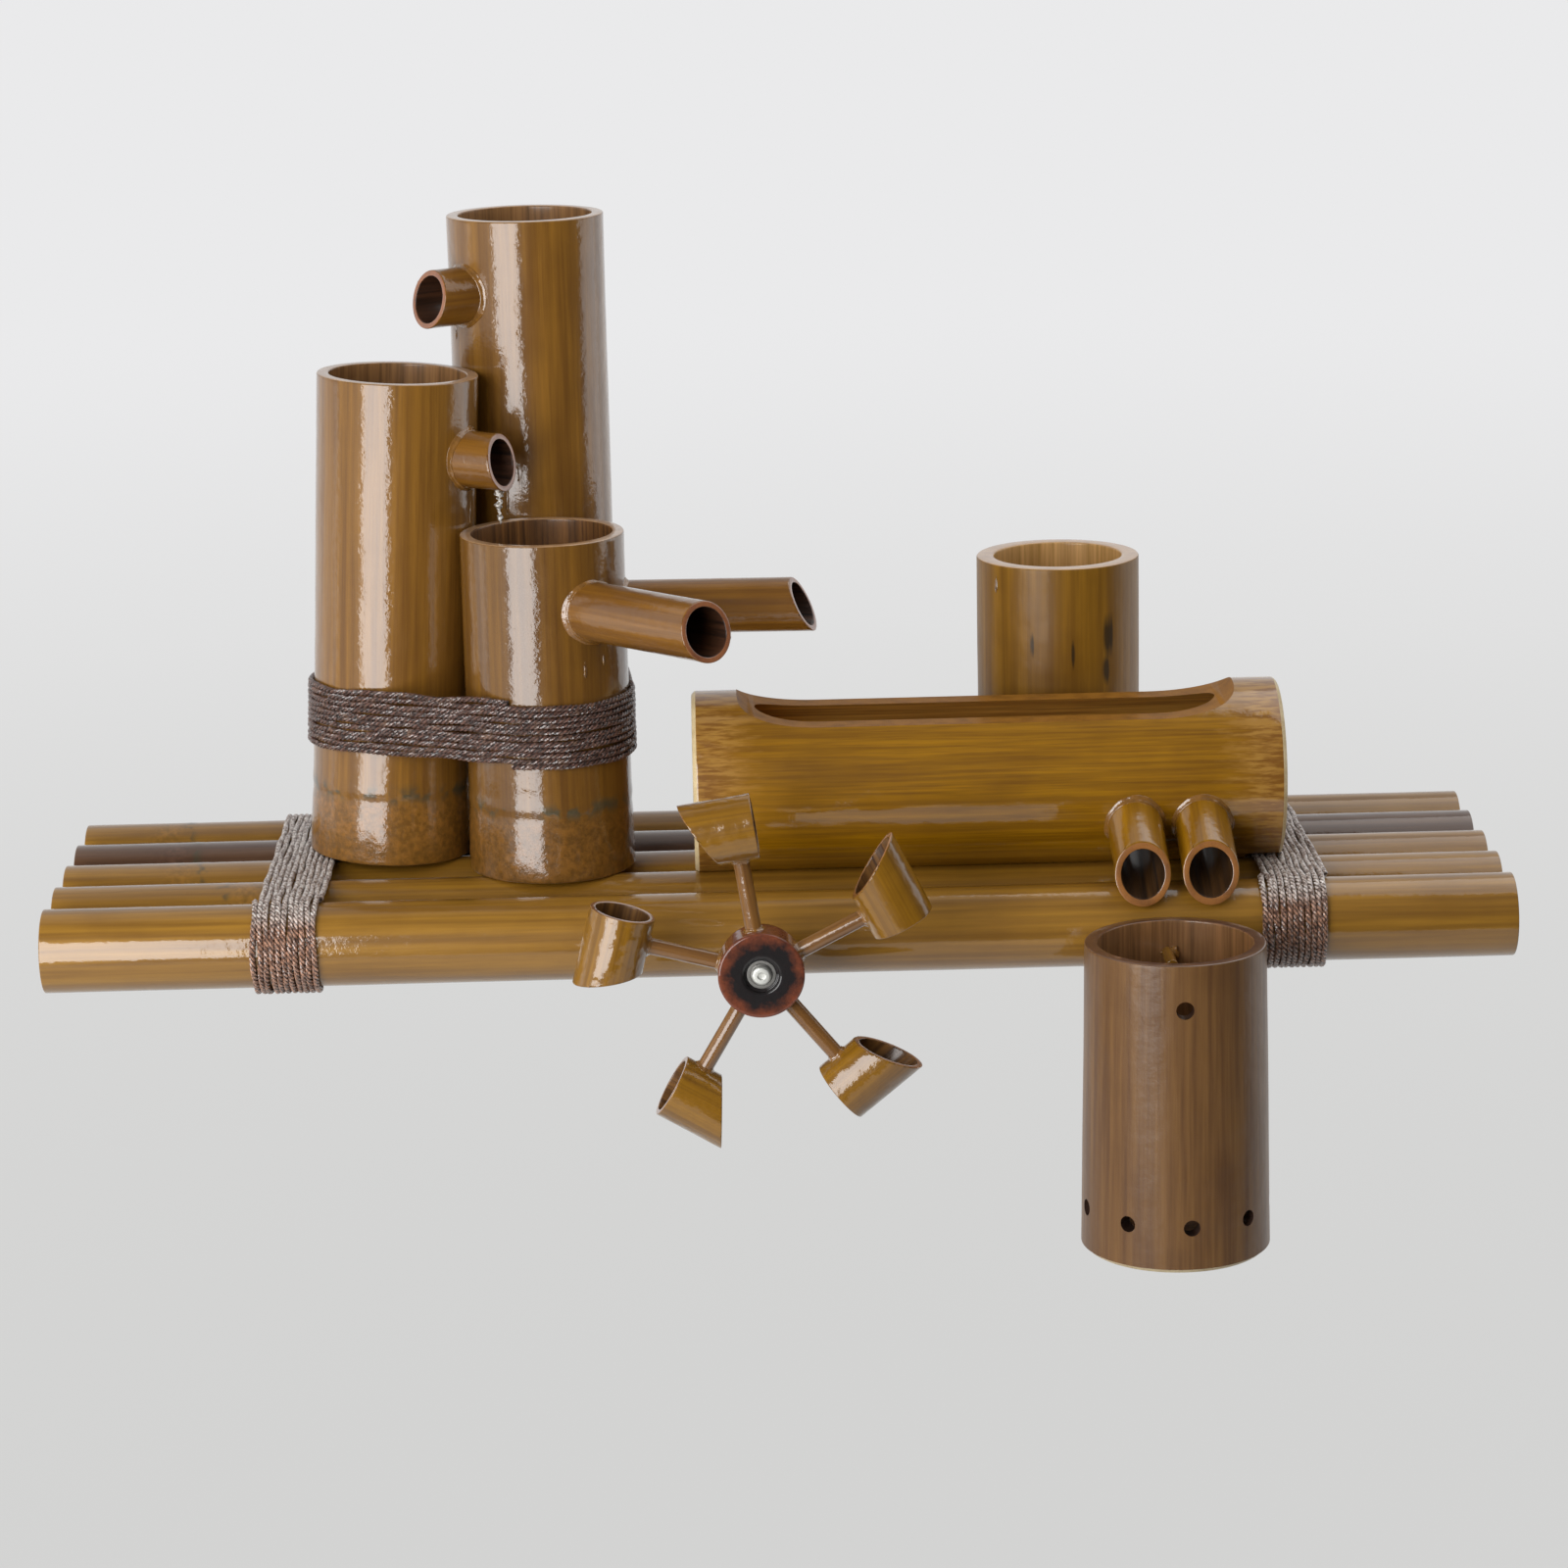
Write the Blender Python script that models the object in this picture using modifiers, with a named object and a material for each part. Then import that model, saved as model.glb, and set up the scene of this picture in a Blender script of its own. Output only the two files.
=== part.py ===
"""Bamboo water spout for Blender 4.5.

A raft of five bamboo poles carries three stepped tubes, an open trough, a cup, a water
wheel and a pump housing, which is pegged to the front pole under the trough's two
spouts. Metres, +Z up, +X to the right and +Y to the back. The origin is the middle of
the raft at the underside of its poles.
"""

import math

import bmesh
import bpy
import numpy as np
from mathutils import Matrix, Vector

# Fits and cuts
CLEARANCE = 0.0003
CUT_OVERRUN = 0.006

# Raft of poles
RAFT_LENGTH = 0.800
POLE_DIAMETER = 0.0457
POLE_WALL = 0.0052
POLE_RING_SWELL = 0.0002
POLE_RING_HALF_WIDTH = 0.0045
POLE_EDGE = 0.0008
POLE_NAMES = ("pole_front", "pole_second", "pole_middle", "pole_fourth", "pole_rear")
POLE_LEFT_HOLLOWS = (0.105, 0.0946, 0.0777, 0.0690, 0.0604)
POLE_RIGHT_HOLLOW = 0.058
POLES_WITH_RINGS = ("pole_second", "pole_middle", "pole_fourth", "pole_rear")

# Cross dowels that pin the poles together under the lashings
DOWEL_DIAMETER = 0.008
DOWEL_SHORTFALL = 0.004

# Twisted cord lashings
CORD_DIAMETER = 0.0034
CORD_PITCH = 0.0047
CORD_LEAST_GAP = 0.0004
LASHING_TURNS = 8
LASHING_LEFT_X = -0.2666
LASHING_RIGHT_X = 0.2800
TUBE_LASHING_HEIGHT = 0.0838

# Three upright tubes
TUBE_WALL = 0.0066
TUBE_EDGE = 0.0010
TUBE_FLOOR = 0.0055
TUBE_NODE_HEIGHT = 0.0400
TUBE_NODE_SWELL = 0.0006
TUBE_NODE_HALF_WIDTH = 0.0035
TUBE_FOOT_FLARE = 0.0010
TALL_DIAMETER = 0.0880
TALL_ABOVE_MID = 0.0825
MID_DIAMETER = 0.0893
MID_ABOVE_SHORT = 0.0820
SHORT_DIAMETER = 0.0906
SHORT_HEIGHT = 0.1880
MID_X = -0.2175
MID_Y = 0.0193
SHORT_BEARING = math.radians(-24.4)

# Spouts of the upright tubes
SPOUT_WALL = 0.0032
SPOUT_EDGE = 0.0005
SPOUT_CUT_TILT = math.radians(12)
TALL_SPOUT_DIAMETER = 0.0320
TALL_SPOUT_DROP = 0.0420
TALL_SPOUT_REACH = 0.0225
MID_SPOUT_DIAMETER = 0.0315
MID_SPOUT_DROP = 0.0435
MID_SPOUT_REACH = 0.0215
FRONT_SPOUT_DIAMETER = 0.0325
FRONT_SPOUT_DROP = 0.0396
FRONT_SPOUT_REACH = 0.1000
FRONT_SPOUT_BEARING = math.radians(-52)
FRONT_SPOUT_RISE = math.radians(2)
REAR_SPOUT_DIAMETER = 0.0300
REAR_SPOUT_DROP = 0.0430
REAR_SPOUT_REACH = 0.0975
REAR_SPOUT_BEARING = math.radians(-2)
REAR_SPOUT_CUT_TILT = math.radians(24)
REAR_SPOUT_CUT_SKEW = math.radians(11)

# Hose hole in the back of the tall tube
HOSE_HOLE_DIAMETER = 0.0100
HOSE_HOLE_LIFT = 0.0250

# Trough
TROUGH_LENGTH = 0.3250
TROUGH_DIAMETER = 0.1020
TROUGH_WALL = 0.0085
TROUGH_X = 0.1170
TROUGH_SINK = 0.0020
TROUGH_EDGE = 0.0025
TROUGH_END_RIM = 0.0120
TROUGH_END_RECESS = 0.0100
TROUGH_END_WALL = 0.0120
TROUGH_MOUTH_LENGTH = 0.2750
TROUGH_MOUTH_DEPTH = 0.0135
TROUGH_SCOOP_LENGTH = 0.0440
TROUGH_SPOUT_DIAMETER = 0.0305
TROUGH_SPOUT_WALL = 0.0036
TROUGH_SPOUT_FALL = math.radians(21.4)
TROUGH_SPOUT_REACH = 0.0457
TROUGH_SPOUT_CUT_TILT = math.radians(31)
TROUGH_SPOUT_PITCH = 0.0368
TROUGH_SPOUT_FROM_END = 0.0650

# Cup behind the trough
CUP_DIAMETER = 0.0930
CUP_HEIGHT = 0.1500
CUP_WALL = 0.0100
CUP_FLOOR = 0.0070
CUP_FLOOR_LIFT = 0.0180
CUP_EDGE = 0.0015
CUP_X = 0.1660
CUP_GAP = 0.0025

# Pump housing and its peg
HOUSING_RIM_DIAMETER = 0.0963
HOUSING_FOOT_DIAMETER = 0.1013
HOUSING_HEIGHT = 0.1685
HOUSING_WALL = 0.0070
HOUSING_FLOOR = 0.0070
HOUSING_FLOOR_LIFT = 0.0100
HOUSING_EDGE = 0.0012
HOUSING_FOOT_EDGE = 0.0030
HOUSING_X = 0.2082
HOUSING_RIM_DROP = 0.0130
HOUSING_PEG_DIAMETER = 0.0064
HOUSING_PEG_EDGE = 0.0006
HOUSING_PEG_DROP = 0.0180
HOUSING_PEG_INSIDE = 0.0260
HOUSING_PEG_IN_POLE = 0.0200
INTAKE_COUNT = 9
INTAKE_DIAMETER = 0.0088
INTAKE_LIFT = 0.0255
INTAKE_TURN = math.radians(4)
UPPER_HOLE_DIAMETER = 0.0095
UPPER_HOLE_DROP = 0.0240

# Water wheel
WHEEL_X = -0.0114
WHEEL_STANDOFF = 0.0501
WHEEL_BEARINGS = (27, 98.8, 165.6, 239.4, 309.6)
HUB_DIAMETER = 0.0460
HUB_WIDTH = 0.0220
HUB_EDGE = 0.0015
HUB_RECESS_DIAMETER = 0.0190
HUB_RECESS_DEPTH = 0.0030
BUSH_DIAMETER = 0.0156
AXLE_DIAMETER = 0.0060
AXLE_HEAD_DIAMETER = 0.0104
AXLE_HEAD_HEIGHT = 0.0030
AXLE_HEAD_EDGE = 0.0006
AXLE_IN_POLE = 0.0300
AXLE_POINT = 0.0040
SPACER_DIAMETER = 0.0140
WASHER_DIAMETER = 0.0180
WASHER_THICKNESS = 0.0015
ARM_DIAMETER = 0.0088
ARM_SOCKET_DEPTH = 0.0100
ARM_SEAT_DEPTH = 0.0020
ARM_EDGE = 0.0004
WHEEL_CUP_DIAMETER = 0.0350
WHEEL_CUP_WALL = 0.0030
WHEEL_CUP_RADIUS = 0.0785
WHEEL_CUP_SHORT_SIDES = (0.0245, 0.0210, 0.0300, 0.0210, 0.0245)
WHEEL_CUP_LONG_SIDES = (0.0460, 0.0385, 0.0435, 0.0400, 0.0430)
WHEEL_CUP_FLOOR = 0.0030
WHEEL_CUP_EDGE = 0.0005

# Wood screws from below
SCREW_DIAMETER = 0.0034
SCREW_HEAD_DIAMETER = 0.0080
SCREW_HEAD_HEIGHT = 0.0026
SCREW_SINK = 0.0040
SCREW_BITE = 0.0180
SCREW_POINT = 0.0030
TROUGH_SCREW_BITE = 0.0062
TROUGH_SCREW_FROM_END = 0.0500

# How finely round pieces are faceted
POLE_SIDES = 20
TUBE_SIDES = 28
SPOUT_SIDES = 16
SMALL_SIDES = 10
SCREW_SIDES = 6
LOOP_POINTS = 24
SCOOP_STEPS = 5
CURVE_MERGE = 0.00001
SCREW_MERGE = 0.00001
SHARP_ANGLE = math.radians(32)

# Colour, roughness and metallic value of each finish
POLE_BAMBOO = ("9A6F2E", 0.24, 0.0)
DARK_BAMBOO = ("5E463C", 0.26, 0.0)
TUBE_BAMBOO = ("7B5424", 0.16, 0.0)
TROUGH_BAMBOO = ("84600F", 0.18, 0.0)
CUP_BAMBOO = ("86662A", 0.22, 0.0)
HOUSING_BAMBOO = ("7A5838", 0.24, 0.0)
HUB_WOOD = ("3A2C2C", 0.40, 0.0)
DOWEL_WOOD = ("A07A44", 0.55, 0.0)
TWISTED_CORD = ("4A3830", 0.45, 0.0)
STEEL = ("B0B0A8", 0.28, 1.0)
ZINC = ("9C9C98", 0.38, 1.0)

# Worked out from the driving sizes
MID_HEIGHT = SHORT_HEIGHT + MID_ABOVE_SHORT
TALL_HEIGHT = MID_HEIGHT + TALL_ABOVE_MID
POLE_RADIUS = POLE_DIAMETER / 2
POLE_PITCH = POLE_DIAMETER + CLEARANCE
RAFT_TOP = POLE_DIAMETER + CLEARANCE
CORD_RADIUS = CORD_DIAMETER / 2
TROUGH_RADIUS = TROUGH_DIAMETER / 2
WHEEL_CUP_OUTER = WHEEL_CUP_DIAMETER / 2


def pole_y(index):
    """The Y of a pole's axis, counted from the front."""
    return (index - (len(POLE_NAMES) - 1) / 2) * POLE_PITCH


def foot_radius(diameter):
    """The radius of a tube at its flared foot."""
    return diameter / 2 + TUBE_FOOT_FLARE


def touching_place(first, first_reach, second, second_reach):
    """The point at given distances from two points, on the left of the way between them."""
    way = second - first
    along = (way.length_squared + first_reach ** 2 - second_reach ** 2) / (2 * way.length)
    across = math.sqrt(first_reach ** 2 - along ** 2)
    direction = way.normalized()
    return first + direction * along + Vector((-direction.y, direction.x)) * across


# The mid tube stands on the edge of the left lashing, so it leans to the right
CORD_REACH = (POLE_RADIUS + CORD_RADIUS + CLEARANCE) / math.cos(math.pi / (LOOP_POINTS - 2))
CORD_TOP = POLE_RADIUS + CORD_REACH + CORD_RADIUS
BAND_HALF_WIDTH = LASHING_TURNS * CORD_PITCH / 2 + CORD_RADIUS
MID_LEAN = math.atan2(CORD_TOP + CLEARANCE - RAFT_TOP,
                      MID_X + foot_radius(MID_DIAMETER) - LASHING_LEFT_X - BAND_HALF_WIDTH)
MID_FOOT_Z = RAFT_TOP + foot_radius(MID_DIAMETER) * math.sin(MID_LEAN)


def mid_centre(height):
    """The mid tube's axis at a height above the raft."""
    return Vector((MID_X + (RAFT_TOP + height - MID_FOOT_Z) * math.tan(MID_LEAN), MID_Y))


def beside(spot, distance, bearing):
    """The point at a distance and bearing from another."""
    return spot + distance * Vector((math.cos(bearing), math.sin(bearing)))


SHORT_TO_MID = (SHORT_DIAMETER + MID_DIAMETER) / 2 + CLEARANCE * 2
SHORT_PLACE = beside(mid_centre(SHORT_HEIGHT), SHORT_TO_MID, SHORT_BEARING)
MID_TO_TALL = (MID_DIAMETER + TALL_DIAMETER) / 2 + CLEARANCE * 2
SHORT_TO_TALL = foot_radius(SHORT_DIAMETER) + foot_radius(TALL_DIAMETER) + CLEARANCE
TALL_PLACE = touching_place(mid_centre(MID_HEIGHT), MID_TO_TALL, SHORT_PLACE, SHORT_TO_TALL)

TROUGH_POLES = (1, 2)
TROUGH_Y = (pole_y(TROUGH_POLES[0]) + pole_y(TROUGH_POLES[1])) / 2
TROUGH_SEAT = TROUGH_RADIUS + POLE_RADIUS + CLEARANCE
TROUGH_Z = POLE_RADIUS + math.sqrt(TROUGH_SEAT ** 2 - (POLE_PITCH / 2) ** 2) - TROUGH_SINK
CUP_Y = TROUGH_Y + TROUGH_RADIUS + CUP_GAP + CUP_DIAMETER / 2
RAFT_FRONT = pole_y(0) - POLE_RADIUS
HOUSING_Z = POLE_DIAMETER - HOUSING_RIM_DROP - HOUSING_HEIGHT
HOUSING_TAPER = (HOUSING_FOOT_DIAMETER - HOUSING_RIM_DIAMETER) / 2 / HOUSING_HEIGHT


def housing_radius(height):
    """The outer radius of the pump housing at a height above its foot."""
    return HOUSING_FOOT_DIAMETER / 2 - HOUSING_TAPER * height


HOUSING_Y = RAFT_FRONT - CLEARANCE - housing_radius(POLE_RADIUS - HOUSING_Z)
WHEEL_Y = RAFT_FRONT - WHEEL_STANDOFF


def clear_scene():
    """Removes every object that the file opened with."""
    for item in list(bpy.data.objects):
        bpy.data.objects.remove(item, do_unlink=True)


def new_collection(name):
    """A collection linked to the scene."""
    made = bpy.data.collections.new(name)
    bpy.context.scene.collection.children.link(made)
    return made


def linear(channel):
    """One sRGB channel from 0 to 1 as a linear value."""
    return channel / 12.92 if channel <= 0.04045 else ((channel + 0.055) / 1.055) ** 2.4


def give_finish(item, finish):
    """Gives an object its own Principled material."""
    hex_colour, roughness, metallic = finish
    channels = [int(hex_colour[i:i + 2], 16) / 255 for i in (0, 2, 4)]
    material = bpy.data.materials.new(item.name + "_finish")
    material.use_nodes = True
    shader = material.node_tree.nodes["Principled BSDF"]
    shader.inputs["Base Color"].default_value = [linear(c) for c in channels] + [1]
    shader.inputs["Roughness"].default_value = roughness
    shader.inputs["Metallic"].default_value = metallic
    item.data.materials.append(material)


def new_empty(name, location, parent=None):
    """An empty that carries pieces."""
    empty = bpy.data.objects.new(name, None)
    PARTS.objects.link(empty)
    empty.parent = parent
    empty.location = location
    return empty


def place(item, location, rotation=(0, 0, 0), parent=None):
    """Sets an object on its parent."""
    item.parent = parent
    item.location = location
    item.rotation_euler = rotation
    return item


def make_cutter(item):
    """Marks an object as a cutter."""
    item.hide_render = True
    item.display_type = "WIRE"
    return item


def turned(name, profile, sides, collection=None, loop=False):
    """A body of revolution about local Z.

    The profile is a list of (radius, height) that runs down the outer side. A loop
    closes on itself and leaves a bore, the others start and end on the axis.
    """
    mesh = bpy.data.meshes.new(name)
    edges = [(i, i + 1) for i in range(len(profile) - 1)]
    if loop:
        edges.append((len(profile) - 1, 0))
    mesh.from_pydata([(r, 0, z) for r, z in profile], edges, [])
    item = bpy.data.objects.new(name, mesh)
    (collection or PARTS).objects.link(item)
    screw = item.modifiers.new("turn", "SCREW")
    screw.axis = "Z"
    screw.steps = sides
    screw.render_steps = sides
    screw.use_merge_vertices = True
    screw.merge_threshold = SCREW_MERGE
    screw.use_smooth_shade = True
    return item


def rod_cutter(name, radius, low, high, sides, location, rotation=(0, 0, 0), parent=None):
    """A round cutter from low to high on its own Z."""
    mesh = bpy.data.meshes.new(name)
    shape = bmesh.new()
    middle = Matrix.Translation((0, 0, (low + high) / 2))
    bmesh.ops.create_cone(shape, cap_ends=True, segments=sides, radius1=radius,
                          radius2=radius, depth=high - low, matrix=middle)
    shape.to_mesh(mesh)
    shape.free()
    item = bpy.data.objects.new(name, mesh)
    CUTTERS.objects.link(item)
    place(item, location, rotation, parent)
    return make_cutter(item)


def block_cutter(name, size, matrix, parent=None):
    """A cube cutter whose lower face lies on the matrix's XY plane."""
    mesh = bpy.data.meshes.new(name)
    shape = bmesh.new()
    bmesh.ops.create_cube(shape, size=size, matrix=Matrix.Translation((0, 0, size / 2)))
    shape.to_mesh(mesh)
    shape.free()
    item = bpy.data.objects.new(name, mesh)
    CUTTERS.objects.link(item)
    item.parent = parent
    item.matrix_local = matrix
    return make_cutter(item)


def cut(item, cutter):
    """Takes a cutter out of an object."""
    boolean = item.modifiers.new("cut_" + cutter.name, "BOOLEAN")
    boolean.operation = "DIFFERENCE"
    boolean.solver = "EXACT"
    boolean.object = cutter


def smooth(item):
    """Shades the round sides smooth and keeps the cut edges sharp."""
    item.data.shade_smooth()
    item.data.set_sharp_from_angle(angle=SHARP_ANGLE)


def curve_as_mesh(curve_item, name, collection):
    """Turns an evaluated curve into a mesh object with its caps welded."""
    bpy.context.view_layer.update()
    graph = bpy.context.evaluated_depsgraph_get()
    mesh = bpy.data.meshes.new_from_object(curve_item.evaluated_get(graph))
    shape = bmesh.new()
    shape.from_mesh(mesh)
    bmesh.ops.remove_doubles(shape, verts=shape.verts, dist=CURVE_MERGE)
    bmesh.ops.recalc_face_normals(shape, faces=shape.faces)
    shape.to_mesh(mesh)
    shape.free()
    mesh.name = name
    item = bpy.data.objects.new(name, mesh)
    collection.objects.link(item)
    item.matrix_world = curve_item.matrix_world
    bpy.data.objects.remove(curve_item, do_unlink=True)
    return item


def outline_cutter(name, outline, thickness):
    """A flat outline in local XY, extruded both ways along local Z."""
    curve = bpy.data.curves.new(name + "_outline", "CURVE")
    curve.dimensions = "2D"
    curve.fill_mode = "BOTH"
    curve.extrude = thickness / 2
    spline = curve.splines.new("POLY")
    spline.points.add(len(outline) - 1)
    for point, (x, y) in zip(spline.points, outline):
        point.co = (x, y, 0, 1)
    spline.use_cyclic_u = True
    drawn = bpy.data.objects.new(name + "_outline", curve)
    CUTTERS.objects.link(drawn)
    return make_cutter(curve_as_mesh(drawn, name, CUTTERS))


# Raft


def pole_profile(left_hollow, ringed):
    """A pole along local Z: hollow to the first node at each end, solid between."""
    half = RAFT_LENGTH / 2
    bore = POLE_RADIUS - POLE_WALL
    ring = left_hollow - half
    profile = [(0, half - POLE_RIGHT_HOLLOW), (bore, half - POLE_RIGHT_HOLLOW), (bore, half),
               (POLE_RADIUS - POLE_EDGE, half), (POLE_RADIUS, half - POLE_EDGE)]
    if ringed:
        profile += [(POLE_RADIUS, ring + POLE_RING_HALF_WIDTH),
                    (POLE_RADIUS + POLE_RING_SWELL, ring),
                    (POLE_RADIUS, ring - POLE_RING_HALF_WIDTH)]
    profile += [(POLE_RADIUS, POLE_EDGE - half), (POLE_RADIUS - POLE_EDGE, -half),
                (bore, -half), (bore, left_hollow - half), (0, left_hollow - half)]
    return profile


def build_poles(raft):
    """Five poles side by side, counted from the front."""
    poles = []
    for index, name in enumerate(POLE_NAMES):
        profile = pole_profile(POLE_LEFT_HOLLOWS[index], name in POLES_WITH_RINGS)
        pole = turned(name, profile, POLE_SIDES)
        place(pole, (0, pole_y(index), POLE_RADIUS), (0, math.pi / 2, 0), raft)
        give_finish(pole, DARK_BAMBOO if name == "pole_fourth" else POLE_BAMBOO)
        poles.append(pole)
    return poles


def build_dowels(raft, poles):
    """A dowel through all five poles under each raft lashing."""
    length = -2 * RAFT_FRONT - 2 * DOWEL_SHORTFALL
    for side, x in (("left", LASHING_LEFT_X), ("right", LASHING_RIGHT_X)):
        radius = DOWEL_DIAMETER / 2
        profile = [(0, length / 2), (radius, length / 2), (radius, -length / 2), (0, -length / 2)]
        dowel = turned("cross_dowel_" + side, profile, SMALL_SIDES)
        place(dowel, (x, 0, POLE_RADIUS), (math.pi / 2, 0, 0), raft)
        give_finish(dowel, DOWEL_WOOD)
        reach = length / 2 + CLEARANCE
        bore = rod_cutter("dowel_bore_" + side, radius + CLEARANCE, -reach, reach, SMALL_SIDES,
                          (x, 0, POLE_RADIUS), (math.pi / 2, 0, 0), raft)
        for pole in poles:
            cut(pole, bore)


# Lashings


def hull_loop(circles, count):
    """One loop of points round circles given as (x, y, radius), counter-clockwise.

    Every circle gets a share of the points, spread over the arc that the loop touches.
    The points stand out by the chord's sagitta, so the chords clear the circles.
    """
    normals = []
    for (ax, ay, ar), (bx, by, br) in zip(circles, circles[1:] + circles[:1]):
        heading = math.atan2(by - ay, bx - ax)
        normals.append(heading - math.acos((ar - br) / math.hypot(bx - ax, by - ay)))
    each = count // len(circles)
    points = []
    for index, (x, y, radius) in enumerate(circles):
        start = normals[index - 1]
        sweep = (normals[index] - start) % math.tau
        step = sweep / (each - 1)
        reach = (radius + CORD_RADIUS + CLEARANCE) / math.cos(step / 2)
        for number in range(each):
            angle = start + step * number
            points.append((x + reach * math.cos(angle), y + reach * math.sin(angle)))
    return points


def wound_path(loop_at, turns, pitch):
    """Loops wound into a helix as (x, y, climb), with the loop asked for at each climb."""
    loop = loop_at(0)
    lengths = [math.dist(a, b) for a, b in zip(loop, loop[1:] + loop[:1])]
    whole = sum(lengths)
    path = []
    travelled = 0
    for number in range(turns * len(loop) + 1):
        climb = (travelled / whole - turns / 2) * pitch
        path.append((*loop_at(climb)[number % len(loop)], climb))
        travelled += lengths[number % len(loop)]
    return path


def least_gap(path, turn_points):
    """The least gap between the cord and itself, half a turn or more apart."""
    points = np.array(path)
    least = math.inf
    for offset in range(turn_points // 2, turn_points * 2):
        starts, ends = points[:-1], points[1:]
        middles = (starts + ends) / 2
        for one in (starts, middles):
            first, second = one[:-offset], starts[offset:]
            span = ends[offset:] - second
            share = ((first - second) * span).sum(axis=1) / (span * span).sum(axis=1)
            nearest = second + span * share.clip(0, 1)[:, None]
            least = min(least, np.linalg.norm(first - nearest, axis=1).min())
    return least - CORD_DIAMETER


def build_lashing(name, path, raft, location, rotation):
    """One unbroken length of cord wound round what it holds."""
    gap = least_gap(path, LOOP_POINTS)
    print(f"{name}: least gap of the cord to itself {gap * 1000:.2f} mm")
    if gap <= CORD_LEAST_GAP:
        print(f"{name}: the turns lie closer than {CORD_LEAST_GAP * 1000:.2f} mm")
    curve = bpy.data.curves.new(name, "CURVE")
    curve.dimensions = "3D"
    curve.bevel_depth = CORD_RADIUS
    curve.bevel_resolution = 1
    curve.use_fill_caps = True
    spline = curve.splines.new("POLY")
    spline.points.add(len(path) - 1)
    for point, position in zip(spline.points, path):
        point.co = (*position, 1)
    lashing = bpy.data.objects.new(name, curve)
    PARTS.objects.link(lashing)
    place(lashing, location, rotation, raft)
    give_finish(lashing, TWISTED_CORD)


def build_raft_lashings(raft):
    """A band of cord round all five poles near each end."""
    circles = [(0, pole_y(0), POLE_RADIUS), (0, pole_y(len(POLE_NAMES) - 1), POLE_RADIUS)]
    loop = hull_loop(circles, LOOP_POINTS)
    path = wound_path(lambda climb: loop, LASHING_TURNS, CORD_PITCH)
    for side, x in (("left", LASHING_LEFT_X), ("right", LASHING_RIGHT_X)):
        build_lashing("raft_lashing_" + side, path, raft, (x, 0, POLE_RADIUS), (0, math.pi / 2, 0))


def tube_loop(climb):
    """The loop round the three tubes at a climb from the lashing's middle."""
    mid = mid_centre(TUBE_LASHING_HEIGHT + climb)
    circles = [(SHORT_PLACE.x, SHORT_PLACE.y, SHORT_DIAMETER / 2),
               (TALL_PLACE.x, TALL_PLACE.y, TALL_DIAMETER / 2),
               (mid.x, mid.y, MID_DIAMETER / 2)]
    return hull_loop(circles, LOOP_POINTS)


def build_tube_lashing(raft):
    """A band of cord round the three tubes."""
    path = wound_path(tube_loop, LASHING_TURNS, CORD_PITCH)
    build_lashing("tube_lashing", path, raft, (0, 0, RAFT_TOP + TUBE_LASHING_HEIGHT), (0, 0, 0))


# Upright tubes


def tube_profile(diameter, height):
    """An upright tube on its foot, closed by the floor of its lowest node."""
    outer = diameter / 2
    foot = foot_radius(diameter)
    inner = outer - TUBE_WALL
    floor_top = TUBE_NODE_HEIGHT + TUBE_FLOOR / 2
    floor_low = TUBE_NODE_HEIGHT - TUBE_FLOOR / 2
    return [(0, floor_top), (inner, floor_top), (inner, height - TUBE_EDGE),
            (inner + TUBE_EDGE, height), (outer - TUBE_EDGE, height), (outer, height - TUBE_EDGE),
            (outer, TUBE_NODE_HEIGHT + TUBE_NODE_HALF_WIDTH),
            (outer + TUBE_NODE_SWELL, TUBE_NODE_HEIGHT),
            (outer, TUBE_NODE_HEIGHT - TUBE_NODE_HALF_WIDTH), (foot, TUBE_NODE_HEIGHT / 2),
            (foot, 0), (foot - TUBE_WALL, 0), (inner, floor_low), (0, floor_low)]


def build_tube(name, diameter, height, stand):
    """One tube on the empty at the middle of its foot."""
    tube = turned(name, tube_profile(diameter, height), TUBE_SIDES)
    place(tube, (0, 0, 0), (0, 0, 0), stand)
    give_finish(tube, TUBE_BAMBOO)
    return tube


def cut_hose_hole(tube):
    """The hole in the back of the tall tube that a pump's hose would go through."""
    height = TUBE_NODE_HEIGHT + HOSE_HOLE_LIFT
    inner = TALL_DIAMETER / 2 - TUBE_WALL
    cutter = rod_cutter("hose_hole", HOSE_HOLE_DIAMETER / 2, inner - CUT_OVERRUN,
                        inner + TUBE_WALL + CUT_OVERRUN, SMALL_SIDES,
                        (0, 0, height), (-math.pi / 2, 0, 0), tube.parent)
    cut(tube, cutter)


# Spouts


def aim(bearing, rise):
    """The rotation that turns local Z to a bearing from +X, raised by an angle."""
    return (0, math.pi / 2 - rise, bearing)


def build_spout(name, diameter, wall, start, end, cut_tilt, cut_skew, location, rotation,
                parent, finish):
    """A spout along local Z, cut aslant at its end centre. Local -X is its upper side."""
    radius = diameter / 2
    length = end + radius * math.tan(abs(cut_tilt)) + CUT_OVERRUN + radius
    bore = radius - wall
    profile = [(bore, length), (radius, length), (radius, start + SPOUT_EDGE),
               (radius - SPOUT_EDGE, start), (bore, start)]
    spout = turned(name, profile, SPOUT_SIDES, loop=True)
    place(spout, location, rotation, parent)
    slant = Matrix.Rotation(-cut_tilt, 4, "Y") @ Matrix.Rotation(cut_skew, 4, "X")
    frame = Matrix.LocRotScale(Vector(location), spout.rotation_euler, None)
    trim = frame @ Matrix.Translation((0, 0, end)) @ slant
    cut(spout, block_cutter(name + "_trim", diameter * 3, trim, parent))
    give_finish(spout, finish)
    return spout


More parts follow.
